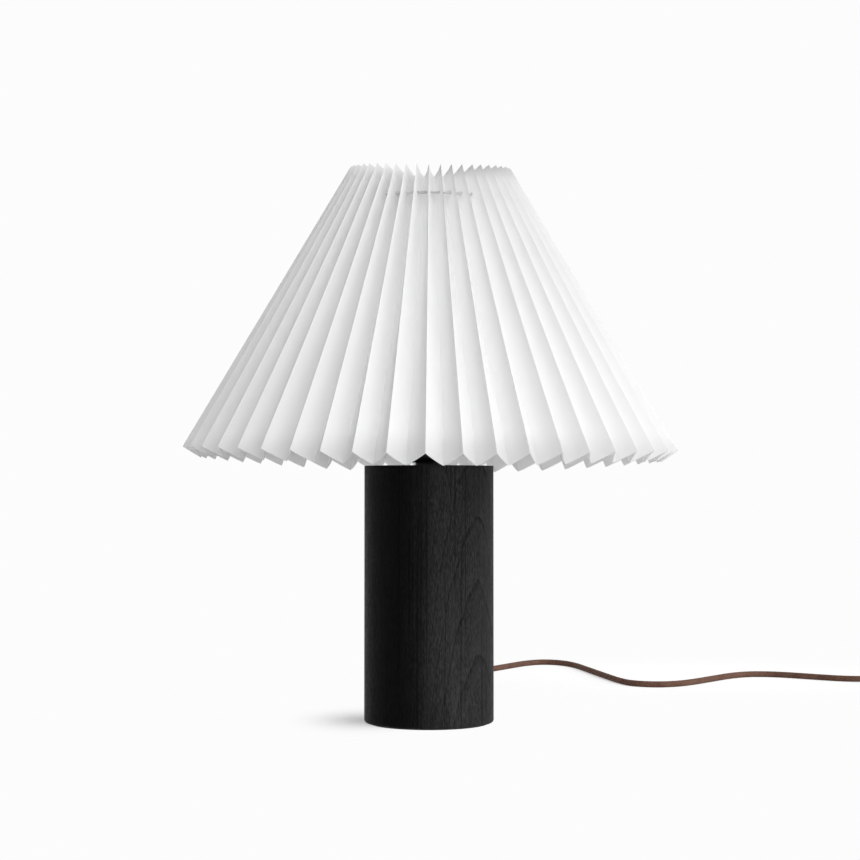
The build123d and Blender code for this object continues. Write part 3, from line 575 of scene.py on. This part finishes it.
def adopt(piece: bpy.types.Object, dress: Dress, body: str = LAMP, nodes: Sequence[str] = ()) -> None:
    """Give a new piece its finish, its body and the nodes that it stands for.

    Args:
        piece: The piece.
        dress: Its finish.
        body: The body that it rides on.
        nodes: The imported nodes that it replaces.
    """
    if not piece.data.materials:
        piece.data.materials.append(dress.material)
    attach(piece, body)
    if nodes:
        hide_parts(*nodes)
    LOG.info("%s: %d faces, on %s", piece.name, len(piece.data.polygons), body)


class Fold(Graph):
    """A Geometry Nodes tree with named inputs."""

    KINDS = {
        int: "NodeSocketInt", float: "NodeSocketFloat", tuple: "NodeSocketVector",
        bpy.types.Material: "NodeSocketMaterial"}

    def __init__(self, name: str, dress: Dress, values: dict[str, Any]) -> None:
        """Make the tree with one input for each value and one for the finish.

        Args:
            name: The tree's name.
            dress: What the finish is.
            values: The other inputs' names and values.
        """
        super().__init__(bpy.data.node_groups.new(name, "GeometryNodeTree"))
        self.values = {**values, "Finish": dress.material}
        face = self.tree.interface
        for label, value in self.values.items():
            kind = next(kind for known, kind in self.KINDS.items() if isinstance(value, known))
            face.new_socket(name=label, in_out="INPUT", socket_type=kind)
        face.new_socket(name="Geometry", in_out="OUTPUT", socket_type="NodeSocketGeometry")
        self.inputs = self.node("NodeGroupInput")

    @cached_property
    def place(self) -> Wire:
        """Where each point is, in metres."""
        return self.node("GeometryNodeInputPosition")

    def __getitem__(self, label: str) -> Wire:
        """A named input."""
        return self.inputs.out(label)

    def mesh(self, geometry: Wire) -> bpy.types.Mesh:
        """Realise instances, set the material, end the tree and run it on an empty object.

        Args:
            geometry: What the tree has made.

        Returns:
            The result as a plain mesh, with its material.
        """
        real = self.node("GeometryNodeRealizeInstances", {"Geometry": geometry})
        smooth = self.node("GeometryNodeSetShadeSmooth", {"Geometry": real, "Shade Smooth": True})
        dressed = self.node("GeometryNodeSetMaterial", {"Geometry": smooth, "Material": self["Finish"]})
        self.node("NodeGroupOutput", {"Geometry": dressed})
        carrier = new_object(self.tree.name, bpy.data.meshes.new(self.tree.name))
        modifier = carrier.modifiers.new(self.tree.name, "NODES")
        modifier.node_group = self.tree
        for item in self.tree.interface.items_tree:
            if item.in_out == "INPUT":
                modifier[item.identifier] = self.values[item.name]
        made = plain_mesh(carrier)
        bpy.data.objects.remove(carrier)
        return made


@dataclass
class Viewpoint:
    """Camera in front of the lamp, at the photograph's place and angle."""

    distance: float = 1.5
    height: float = 0.181
    aside: float = 0.81 * MM
    lens: float = 81.0
    sensor: float = 36.0
    pitch: float = 1.729

    def build(self) -> None:
        """Make the camera and use it."""
        data = bpy.data.cameras.new("viewpoint")
        data.lens = self.lens
        data.sensor_width = self.sensor
        camera = new_object("viewpoint", data)
        tilt = Matrix.Rotation(math.radians(90 + self.pitch), 4, "X")
        camera.matrix_world = Matrix.Translation((self.aside, -self.distance, self.height)) @ tilt
        bpy.context.scene.camera = camera


@dataclass
class Flex:
    """A braided cord that follows control points."""

    name: str
    points: Sequence[Point]
    radius: float = 2.8 * MM
    sides: int = 14
    resolution: int = 8

    def line(self) -> list[Vector]:
        """Points read from the route's smooth curve.

        Returns:
            The points, from the first end to the last.
        """
        data = bpy.data.curves.new(self.name, "CURVE")
        data.dimensions = "3D"
        spline = data.splines.new("NURBS")
        spline.points.add(len(self.points) - 1)
        for spot, place in zip(spline.points, self.points):
            spot.co = (*place, 1.0)
        spline.order_u = 3
        spline.use_endpoint_u = True
        spline.resolution_u = self.resolution
        carrier = new_object(self.name, data)
        mesh = plain_mesh(carrier)
        found = [vertex.co.copy() for vertex in mesh.vertices]
        bpy.data.objects.remove(carrier)
        return found

    def build(self) -> tuple[bpy.types.Object, list[Vector]]:
        """Tube along the line, closed at its ends, with a map round it and along it.

        Returns:
            The piece and the line that it follows.
        """
        line = self.line()
        sides = self.sides
        corners: list[Vector] = []
        reach = [0.0]
        ahead = (line[1] - line[0]).normalized()
        side = ahead.orthogonal().normalized()
        for index, spot in enumerate(line):
            before = line[max(index - 1, 0)]
            after = line[min(index + 1, len(line) - 1)]
            heading = (after - before).normalized()
            side = (side - heading * side.dot(heading)).normalized()
            up = heading.cross(side)
            for step in range(sides):
                angle = math.tau * step / sides
                corners.append(spot + (side * math.cos(angle) + up * math.sin(angle)) * self.radius)
            if index:
                reach.append(reach[-1] + (spot - before).length)
        faces: list[tuple[int, ...]] = []
        spots: list[tuple[float, float]] = []
        for row in range(len(line) - 1):
            for step in range(sides):
                ring = ((row, step), (row, step + 1), (row + 1, step + 1), (row + 1, step))
                faces.append(tuple(level * sides + turn % sides for level, turn in ring))
                spots += [(turn / sides, reach[level]) for level, turn in ring]
        for row, order in ((0, -1), (len(line) - 1, 1)):
            faces.append(tuple(range(row * sides, (row + 1) * sides))[::order])
            spots += [(0.0, reach[row])] * sides
        mesh = bpy.data.meshes.new(self.name)
        mesh.from_pydata(corners, [], faces)
        layer = mesh.uv_layers.new(name="UVMap")
        for corner, spot in zip(layer.data, spots):
            corner.uv = spot
        sharpen(mesh, degrees=60)
        return new_object(self.name, mesh), line


@dataclass
class Mains:
    """The cord: inside the lamp, from the lamp to the switch, and on through its coil to the plug."""

    exit: Point = (0.0, 0.076, 0.0095)
    floor_z: float = 2.8 * MM
    thickness: float = 5.6 * MM
    inner: Sequence[Point] = (
        (0.0, 0.076, 0.0095), (0.0, 0.044, 0.0095), (0.0, 0.0, 0.0095), (0.0, 0.0, 0.044), (0.0, 0.0, 0.12),
        (0.0, 0.0, 0.2105))
    lead: Sequence[Point] = (
        (0.0, 0.076, 0.0095), (0.0, 0.1, 0.0095), (-0.002, 0.132, 0.0028), (-0.007, 0.172, 0.0028),
        (-0.008, 0.211, 0.0028), (-0.00206, 0.24798, 0.0085), (0.00511, 0.27297, 0.0085))
    switch_end: Sequence[Point] = ((0.01889, 0.32103, 0.0085), (0.02606, 0.34602, 0.0085))
    run: Sequence[tuple[float, float]] = (
        (0.042, 0.387), (0.066, 0.424), (0.084, 0.456), (0.097, 0.478), (0.115, 0.495), (0.134, 0.487),
        (0.147, 0.459), (0.156, 0.41), (0.167, 0.35), (0.177, 0.296), (0.188, 0.272), (0.212, 0.264),
        (0.236, 0.279), (0.265, 0.319), (0.289, 0.352), (0.31, 0.366), (0.334, 0.362), (0.359, 0.342),
        (0.393, 0.315))
    coil_entry: Sequence[Point] = ((0.42407, 0.30624, 0.0043), (0.44408, 0.29299, 0.0043))
    coil_centre: tuple[float, float] = (0.47, 0.322)
    coil_r: float = 38.5 * MM
    coil_pitch: float = 6.4 * MM
    coil_low: float = 4.3 * MM
    coil_start: float = 236.5
    coil_sweep: float = 1203.5
    coil_climb: float = 180.0
    points_a_turn: int = 20
    tail: Sequence[Point] = ((0.5085, 0.342, 0.0107), (0.5085, 0.358, 0.00878), (0.5085, 0.374, 0.00685),
                             (0.5085, 0.3796, 0.00685))

    def coil(self) -> list[Point]:
        """Control points of the coil: inwards on the floor, up a layer, and outwards again."""
        count = round(self.points_a_turn * self.coil_sweep / 360)
        found = []
        for index in range(count + 1):
            sweep = self.coil_sweep * index / count
            radius = self.coil_r - self.coil_pitch * min(sweep, self.coil_sweep - sweep) / 360
            share = min(max((sweep - self.coil_sweep / 2) / self.coil_climb + 0.5, 0), 1)
            angle = math.radians(self.coil_start + sweep)
            found.append((
                self.coil_centre[0] + radius * math.cos(angle),
                self.coil_centre[1] + radius * math.sin(angle),
                self.coil_low + self.coil_pitch * share * share * (3 - 2 * share)))
        return found

    def build(self) -> None:
        inner, _ = Flex("inner_flex_braid", self.inner).build()
        adopt(inner, Dress.BROWN_TEXTILE, nodes=["inner_flex"])
        lead, lead_line = Flex("cord_lead_braid", self.lead).build()
        adopt(lead, Dress.BROWN_TEXTILE, nodes=["cord_lead"])
        [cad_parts[name] for name in ("switch_base", "switch_cover", "switch_screws")]
        floor_run = [(x, y, self.floor_z) for x, y in self.run]
        route = [*self.switch_end, *floor_run, *self.coil_entry, *self.coil(), *self.tail]
        main, main_line = Flex("cord_main_braid", route).build()
        adopt(main, Dress.BROWN_TEXTILE, nodes=["cord_run", "cord_coil"])
        self.switch_end[0]
        [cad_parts[name] for name in ("plug_body", "plug_pins")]
        [bpy.data.objects[name] for name in ("tie_strap", "plug_grip")]


@dataclass
class Shade:
    """Pleated paper cone, gathered by a string near its top."""

    pleats: int = 48
    panel_steps: int = 6
    rows: int = 26
    turn: float = math.radians(-91.25)
    rim_radius: float = 185.5 * MM
    rim_height: float = 208.6 * MM
    rim_back: float = 2.0 * MM
    rim_spread: float = 5.2 * MM
    rim_saddle: float = 3.7 * MM
    rim_lean: float = 1.8 * MM
    rim_depth: float = 13.0 * MM
    rim_drop: float = 8.2 * MM
    top_radius: float = 62.4 * MM
    top_height: float = 426.0 * MM
    top_saddle: float = 3.0 * MM
    top_lean: float = 0.8 * MM
    top_depth: float = 14.4 * MM
    top_drop: float = 7.0 * MM
    aside: float = 1.2 * MM
    rim_bow: float = 0.2
    top_bow: float = 0.8
    wander: float = 0.03
    front_gap: float = math.radians(1.35)
    gap_reach: float = 0.07
    seed: int = 7
    paper: float = 0.5 * MM
    flat: tuple[float, float] = (1.92, 0.252)
    string_radius: float = 64.0 * MM
    string_height: float = 402.0 * MM
    string_thickness: float = 2.8 * MM
    string_bow: float = 0.8 * MM
    string_sag: float = 0.7 * MM
    string_twists: int = 160
    string_lobe: float = 0.14

    def inputs(self, names: str) -> dict[str, Any]:
        """Inputs of a tree from the fields of the same names.

        Args:
            names: The fields' names, with spaces between.

        Returns:
            The fields' values by title.
        """
        return {name.replace("_", " ").title(): getattr(self, name) for name in names.split()}

    def folded(self) -> bpy.types.Mesh:
        """Fold a flat grid into the pleated cone.

        Returns:
            The sheet without its thickness.
        """
        tree = Fold("pleated_cone", Dress.WHITE_PAPER, self.inputs(
            "pleats panel_steps rows turn rim_radius rim_height rim_back rim_spread rim_saddle rim_lean "
            "rim_depth rim_drop top_radius top_height top_saddle top_lean top_depth top_drop aside "
            "rim_bow top_bow wander front_gap gap_reach seed"))
        pleats = tree["Pleats"]
        grid = tree.node("GeometryNodeMeshGrid", {
            "Size X": 1.0, "Size Y": 1.0, "Vertices X": pleats * tree["Panel Steps"] * 2 + 1,
            "Vertices Y": tree["Rows"]})
        x, y, _ = tree.split(tree.place)
        across = (x + 0.5) * pleats
        up = y + 0.5
        inward = 1 - abs(across.fraction() * 2 - 1)
        bow = tree["Rim Bow"] + (tree["Top Bow"] - tree["Rim Bow"]) * up.ramp(0.0, 1.0)
        quarter = inward * (math.pi / 2)
        deep = inward + bow * (quarter.sin() - inward)
        aside = inward + bow * (1 - quarter.cos() - inward)
        hand = 1 - across.fraction().above(0.5) * 2
        outer_shift = self.shift(tree, (across + 0.5).floor().modulo(pleats), 0)
        inner_shift = self.shift(tree, across.floor(), 1)
        shift = outer_shift * (1 - inward) + inner_shift * inward
        count = across.floor() + 0.5 + (aside * 0.5 - 0.5) * hand + shift
        angle = self.around(tree, count * math.tau / pleats)
        wave = (angle * 2).cos()
        right = angle.cos()
        rim_r = tree["Rim Radius"] + tree["Rim Spread"] * wave - deep * tree["Rim Depth"]
        rim_level = tree["Rim Height"] + tree["Rim Saddle"] * wave - tree["Rim Lean"] * right
        rim_level = rim_level - tree["Rim Back"] * (angle.sin() * 0.5 + 0.5)
        rim_z = rim_level - deep * tree["Rim Drop"]
        top_r = tree["Top Radius"] - deep * tree["Top Depth"]
        top_level = tree["Top Height"] + tree["Top Saddle"] * wave - tree["Top Lean"] * right
        top_z = top_level - deep * tree["Top Drop"]
        radius = rim_r + (top_r - rim_r) * up
        height = rim_z + (top_z - rim_z) * up
        spot = tree.join(radius * right + tree["Aside"], radius * angle.sin(), height)
        mapped = tree.node(
            "GeometryNodeStoreNamedAttribute",
            {"Geometry": grid, "Name": "UVMap", "Value": tree.join(across, up, 0.0)},
            data_type="FLOAT2", domain="CORNER")
        placed = tree.node("GeometryNodeSetPosition", {"Geometry": mapped, "Position": spot})
        return tree.mesh(tree.node("GeometryNodeMergeByDistance", {"Geometry": placed, "Distance": 0.02 * MM}))

    def around(self, tree: Fold, even: Wire) -> Wire:
        """Angle round the shade, with the two pleats at the front a little wider.

        Args:
            tree: The tree that it belongs to.
            even: The angle from the front that evenly spaced pleats would have.

        Returns:
            The angle from the X axis.
        """
        side = even.sin()
        return tree["Turn"] + even + tree["Front Gap"] * side / (abs(side) + tree["Gap Reach"])

    def shift(self, tree: Fold, fold: Wire, offset: int) -> Wire:
        """Small random turn of one fold, in pleats.

        Args:
            tree: The tree that it belongs to.
            fold: The fold's number.
            offset: What is added to the seed.

        Returns:
            The turn.
        """
        span = tree["Wander"]
        return tree.node("FunctionNodeRandomValue", {
            "Min": span * -1, "Max": span, "ID": fold, "Seed": tree["Seed"] + offset})

    def sheet(self) -> None:
        piece = new_object("shade_pleats", self.folded())
        wall = piece.modifiers.new("paper", "SOLIDIFY")
        wall.thickness = self.paper
        wall.offset = 0.0
        piece.data = plain_mesh(piece)
        piece.modifiers.clear()
        sharpen(piece.data, degrees=24)
        adopt(piece, Dress.WHITE_PAPER, nodes=["shade_sheet"])

    def string(self) -> None:
        """Twisted string through the folds, slack in the valleys between them."""
        tree = Fold("gathered_string", Dress.WHITE_STRING, self.inputs(
            "pleats turn aside front_gap gap_reach string_radius string_height string_thickness string_bow "
            "string_sag string_twists string_lobe"))
        pleats = tree["Pleats"]
        ring = tree.node("GeometryNodeCurvePrimitiveCircle", {"Resolution": pleats * 12, "Radius": 1.0})
        share = tree.node("GeometryNodeSplineParameter", output="Factor")
        angle = self.around(tree, share * math.tau)
        slack = 0.5 - (share * pleats * math.tau).cos() * 0.5
        radius = tree["String Radius"] + tree["String Bow"] * slack
        spot = tree.join(
            radius * angle.cos() + tree["Aside"], radius * angle.sin(),
            tree["String Height"] - tree["String Sag"] * slack)
        bent = tree.node("GeometryNodeSetPosition", {"Geometry": ring, "Position": spot})
        wound = tree.node("GeometryNodeSetCurveTilt", {
            "Curve": bent, "Tilt": share * tree["String Twists"] * math.tau})
        lobe = tree.node("GeometryNodeCurvePrimitiveCircle", {"Resolution": 12, "Radius": 1.0})
        turn = tree.node("GeometryNodeSplineParameter", output="Factor") * math.tau
        depth = tree["String Lobe"]
        yarn = tree["String Thickness"] * 0.5 * (1 - depth + (turn * 3).cos() * depth)
        profile = tree.node("GeometryNodeSetPosition", {
            "Geometry": lobe, "Position": tree.join(yarn * turn.cos(), yarn * turn.sin(), 0.0)})
        mesh = tree.mesh(tree.node("GeometryNodeCurveToMesh", {"Curve": wound, "Profile Curve": profile}))
        adopt(new_object("shade_string", mesh), Dress.WHITE_STRING, nodes=["gather_string"])

    def build(self) -> None:
        """Make the sheet and its string."""
        self.sheet()
        self.string()


@dataclass
class Trimmings:
    """What the solids leave out: frayed felt, a woven strap, a screw thread and finger grips."""

    felt_sides: int = 240
    felt_r: float = 46.0 * MM
    felt_thick: float = 1.0 * MM
    felt_fray: float = 0.6 * MM
    felt_grain: float = 700.0
    strap_inner: tuple[float, float] = (17.3 * MM, 13.0 * MM)
    strap_corner: float = 2.8 * MM
    strap_tail: tuple[float, float] = (0.02, 0.24)
    strap_thick: float = 1.0 * MM
    strap_wide: float = 8.0 * MM
    strap_centre: Point = (470.0 * MM, 322.0 * MM, 7.5 * MM)
    strap_turn: float = 45.0
    strap_out: float = 33.15 * MM
    thread_points: int = 48
    thread_r: float = 19.5 * MM
    thread_pitch: float = 2.2 * MM
    thread_thick: float = 0.7 * MM
    rocker_pivot: Point = (12.0 * MM, 297.0 * MM, 14.8 * MM)
    rocker_turn: float = -16.0
    rocker_tilt: float = 9.0
    rocker_rise: float = 2.6 * MM
    rib_from: float = 3.3 * MM
    rib_gap: float = 1.7 * MM
    rib_size: Point = (7.6 * MM, 0.9 * MM, 0.8 * MM)
    grip_inset: float = 3.2 * MM
    grip_gap: float = 2.1 * MM
    grip_size: Point = (22.0 * MM, 1.0 * MM, 0.9 * MM)

    def felt(self) -> None:
        """Felt disc under the foot, with loose fibre round its edge."""
        tree = Fold("felt_disc", Dress.FELT, {
            "Sides": self.felt_sides, "Radius": self.felt_r, "Thickness": self.felt_thick,
            "Fray": self.felt_fray})
        disc = tree.node("GeometryNodeMeshCylinder", {
            "Vertices": tree["Sides"], "Side Segments": 5, "Fill Segments": 10,
            "Radius": tree["Radius"], "Depth": tree["Thickness"]}, fill_type="TRIANGLE_FAN")
        x, y, z = tree.split(tree.place)
        edge = (tree.span(x, y) / tree["Radius"]).ramp(0.95, 1.0)
        grow = 1 + (tree.noise(self.felt_grain, 3.0) - 0.7) * edge * tree["Fray"] / tree["Radius"]
        spot = tree.join(x * grow, y * grow, z * (1 - edge * 0.3) + tree["Thickness"] * 0.5)
        mesh = tree.mesh(tree.node("GeometryNodeSetPosition", {"Geometry": disc, "Position": spot}))
        sharpen(mesh, degrees=50)
        adopt(new_object("felt_disc", mesh), Dress.FELT, nodes=["felt_pad"])

    def layer(self, tree: Fold, number: int) -> Wire:
        """Rounded loop of one layer of the strap.

        Args:
            tree: The strap's tree.
            number: Nought for the layer on the cord, one for the next.

        Returns:
            The loop's middle line.
        """
        thick = tree["Thickness"]
        shape = tree.node("GeometryNodeCurvePrimitiveQuadrilateral", {
            "Width": tree["Inner Width"] + thick * (1 + 2 * number),
            "Height": tree["Inner Height"] + thick * (1 + 2 * number)})
        return tree.node("GeometryNodeFilletCurve", {
            "Curve": shape, "Count": 8, "Radius": tree["Corner"] + thick * (0.5 + number),
            "Limit Radius": True}, mode="POLY")

    def strap(self) -> None:
        """Strap round the coil, its tail end lapped over the top."""
        tree = Fold("tie_strap", Dress.BLACK_STRAP, {
            "Inner Width": self.strap_inner[0], "Inner Height": self.strap_inner[1],
            "Corner": self.strap_corner, "Thickness": self.strap_thick, "Width": self.strap_wide,
            "Tail From": self.strap_tail[0], "Tail To": self.strap_tail[1]})
        tail = tree.node("GeometryNodeTrimCurve", {
            "Curve": self.layer(tree, 1), "Start": tree["Tail From"], "End": tree["Tail To"]})
        both = tree.node("GeometryNodeJoinGeometry", {0: self.layer(tree, 0)})
        tree.tree.links.new(tail.socket, both.socket.node.inputs[0])
        upright = tree.node("GeometryNodeSetCurveNormal", {"Curve": both}, mode="Z_UP")
        profile = tree.node("GeometryNodeCurvePrimitiveQuadrilateral", {
            "Width": tree["Thickness"], "Height": tree["Width"]})
        mesh = tree.mesh(tree.node("GeometryNodeCurveToMesh", {
            "Curve": upright, "Profile Curve": profile, "Fill Caps": True}))
        turned = Matrix.Rotation(math.radians(self.strap_turn), 4, "Z")
        out = Matrix.Translation((self.strap_out, 0, 0))
        stood = Matrix.Rotation(math.radians(90), 4, "X")
        mesh.transform(Matrix.Translation(self.strap_centre) @ turned @ out @ stood)
        sharpen(mesh, degrees=40)
        adopt(new_object("tie_strap", mesh), Dress.BLACK_STRAP, nodes=["cord_tie"])

    def thread(self) -> None:
        """Screw thread round the lamp holder, above the ring that clamps the shade."""
        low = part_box("shade_ring")[1][2] + self.thread_pitch
        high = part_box("holder_shell")[1][2] - self.thread_pitch
        tree = Fold("holder_thread", Dress.BLACK_PLASTIC, {
            "Points": self.thread_points, "Turns": (high - low) / self.thread_pitch, "Radius": self.thread_r,
            "Low": low, "Height": high - low, "Thickness": self.thread_thick})
        spiral = tree.node("GeometryNodeCurveSpiral", {
            "Resolution": tree["Points"], "Rotations": tree["Turns"], "Start Radius": tree["Radius"],
            "End Radius": tree["Radius"], "Height": tree["Height"]})
        raised = tree.node("GeometryNodeSetPosition", {
            "Geometry": spiral, "Offset": tree.join(0.0, 0.0, tree["Low"])})
        profile = tree.node("GeometryNodeCurvePrimitiveCircle", {
            "Resolution": 8, "Radius": tree["Thickness"]})
        mesh = tree.mesh(tree.node("GeometryNodeCurveToMesh", {
            "Curve": raised, "Profile Curve": profile, "Fill Caps": True}))
        adopt(new_object("holder_thread", mesh), Dress.BLACK_PLASTIC)

    def bars(self, name: str, body: str, count: int, start: Point, step: Point, size: Point,
             place: Matrix) -> None:
        """Row of rounded bars.

        Args:
            name: The piece's name.
            body: The body that it rides on.
            count: How many bars.
            start: Middle of the first bar.
            step: From one bar to the next.
            size: Length, width and height of a bar.
            place: Where the row goes.
        """
        tree = Fold(name, Dress.BLACK_PLASTIC, {"Count": count, "Start": start, "Step": step, "Size": size})
        line = tree.node("GeometryNodeMeshLine", {
            "Count": tree["Count"], "Start Location": tree["Start"], "Offset": tree["Step"]})
        bead = tree.node("GeometryNodeMeshUVSphere", {"Segments": 20, "Rings": 12, "Radius": 0.5})
        bar = tree.node("GeometryNodeTransform", {"Geometry": bead, "Scale": tree["Size"]})
        mesh = tree.mesh(tree.node("GeometryNodeInstanceOnPoints", {"Points": line, "Instance": bar}))
        mesh.transform(place)
        adopt(new_object(name, mesh), Dress.BLACK_PLASTIC, body)

    def grips(self) -> None:
        """Ribs at both ends of the rocker and across the top of the plug."""
        slope = math.tan(math.radians(self.rocker_tilt))
        pivot = (
            Matrix.Translation(self.rocker_pivot) @ Matrix.Rotation(math.radians(self.rocker_turn), 4, "Z")
            @ Matrix.Rotation(math.radians(-self.rocker_tilt), 4, "X"))
        for name, hand in (("rocker_ribs_near", -1), ("rocker_ribs_far", 1)):
            self.bars(
                name, ROCKER, 3, (0.0, hand * self.rib_from, self.rocker_rise + slope * self.rib_from),
                (0.0, hand * self.rib_gap, slope * self.rib_gap), self.rib_size, pivot)
        low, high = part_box("plug_body")
        self.bars(
            "plug_grip", LAMP, 4, ((low[0] + high[0]) / 2, high[1] - self.grip_inset, high[2]),
            (0.0, -self.grip_gap, 0.0), self.grip_size, Matrix.Identity(4))

    def build(self) -> None:
        """Make all the small pieces."""
        self.felt()
        self.strap()
        self.thread()
        self.grips()


class Hardware:
    """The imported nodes, each with the finish of its slot; those that pieces replace aren't shown."""

    def build(self) -> None:
        """Change each packed material, which has its slot's bare name, for the finish."""
        finishes = {dress.slot: dress for dress in Dress}
        for name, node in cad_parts.items():
            packed = node.data.materials[0]
            if packed.name in finishes:
                node.data.materials.clear()
                node.data.materials.append(finishes[packed.name].material)
                LOG.info("%s: %s", name, packed.name)


@dataclass
class Studio:
    """White surroundings, with light that grows from the left round to the right and the front."""

    white: float = 0.974
    bounces: int = 12
    low: float = 0.02
    high: float = 1.93
    keen: float = 3.4
    brightest: Point = (0.74, -0.56, 0.47)
    backdrop_low: float = 0.15
    backdrop_high: float = 0.45
    floor_half: float = 12.0
    floor_bounce: float = 0.95
    column_place: Point = (-0.05, 0.02, 0.0)
    column_reach: Point = (0.078, 0.125, 1.0)
    column_light: float = 0.9
    column_share: float = 0.7
    cord_place: Point = (0.24, 0.37, 0.0)
    cord_reach: Point = (0.5, 0.3, 1.0)
    cord_light: float = 0.62

    def seen(self, graph: Graph) -> Wire:
        """One for rays from the camera, in gloss and through glass."""
        path = graph.node("ShaderNodeLightPath")
        return path.out("Is Camera Ray").most(path.out("Is Glossy Ray")).most(path.out("Is Transmission Ray"))

    def world(self) -> None:
        """White behind the lamp and to the camera, and brightest at the right as light."""
        made = bpy.data.worlds.new("studio")
        graph = Graph.fresh(made)
        heading = graph.node("ShaderNodeTexCoord", output="Generated")
        brightest = tuple(Vector(self.brightest).normalized())
        facing = graph.vector("DOT_PRODUCT", heading, brightest, output="Value")
        fill = self.low + (facing * 0.5 + 0.5) ** self.keen * self.high
        light = graph.node("ShaderNodeBackground", {"Color": WHITE, "Strength": fill})
        backdrop = graph.node("ShaderNodeBackground", {"Color": WHITE, "Strength": self.white})
        camera = graph.node("ShaderNodeLightPath", output="Is Camera Ray")
        _, behind, _ = graph.split(heading)
        shown = self.seen(graph) * behind.ramp(self.backdrop_low, self.backdrop_high)
        mixed = graph.node("ShaderNodeMixShader", {0: camera.most(shown), 1: light, 2: backdrop})
        graph.node("ShaderNodeOutputWorld", {"Surface": mixed})
        bpy.context.scene.world = made

    def patch(self, graph: Graph, place: Point, reach: Point) -> Wire:
        """One in the middle of a stretch of floor, falling to nought at its reach.

        Args:
            graph: The floor's material.
            place: The middle of the stretch.
            reach: How far it goes along each axis.

        Returns:
            The share.
        """
        away = graph.vector("SUBTRACT", graph.place, place)
        return (1 - graph.length(graph.vector("DIVIDE", away, reach)).ramp(0.0, 1.0)) ** 2.0

    def floor(self) -> None:
        """Pale floor that keeps the shadows of the column and the cord and is plain white further off."""
        half = self.floor_half
        mesh = bpy.data.meshes.new("floor")
        mesh.from_pydata(
            [(-half, -half, 0), (half, -half, 0), (half, half, 0), (-half, half, 0)], [], [(0, 1, 2, 3)])
        made = bpy.data.materials.new("floor")
        graph = Graph.fresh(made)
        bounce = graph.node("ShaderNodeBsdfDiffuse", {"Color": grey(self.floor_bounce)})
        column = self.patch(graph, self.column_place, self.column_reach) * self.column_share
        cord = self.patch(graph, self.cord_place, self.cord_reach) * (1 - column)
        share = (column + cord) * self.floor_bounce
        lit = (column * self.column_light + cord * self.cord_light) * self.floor_bounce
        shadow = graph.node("ShaderNodeBsdfDiffuse", {"Color": graph.join(share, share, share)})
        glow = graph.node("ShaderNodeEmission", {"Color": WHITE, "Strength": self.white - lit})
        shown = graph.node("ShaderNodeAddShader", {0: shadow, 1: glow})
        mixed = graph.node("ShaderNodeMixShader", {0: self.seen(graph), 1: bounce, 2: shown})
        graph.node("ShaderNodeOutputMaterial", {"Surface": mixed})
        piece = new_object("floor", mesh)
        piece.data.materials.append(made)

    def build(self) -> None:
        """Set up the surroundings and the floor."""
        self.world()
        self.floor()
        bpy.context.scene.view_settings.view_transform = "Standard"
        bpy.context.scene.cycles.diffuse_bounces = self.bounces


def write_sizes() -> None:
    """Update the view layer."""
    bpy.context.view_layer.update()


def main() -> None:
    """Build the scene piece by piece."""
    logging.basicConfig(level=logging.INFO, format="%(name)s: %(message)s")
    for part in (Viewpoint(), Trimmings(), Mains(), Hardware(), Shade(), Studio()):
        LOG.info("building %s", type(part).__name__)
        part.build()
    write_sizes()


if __name__ == "__main__":
    main()
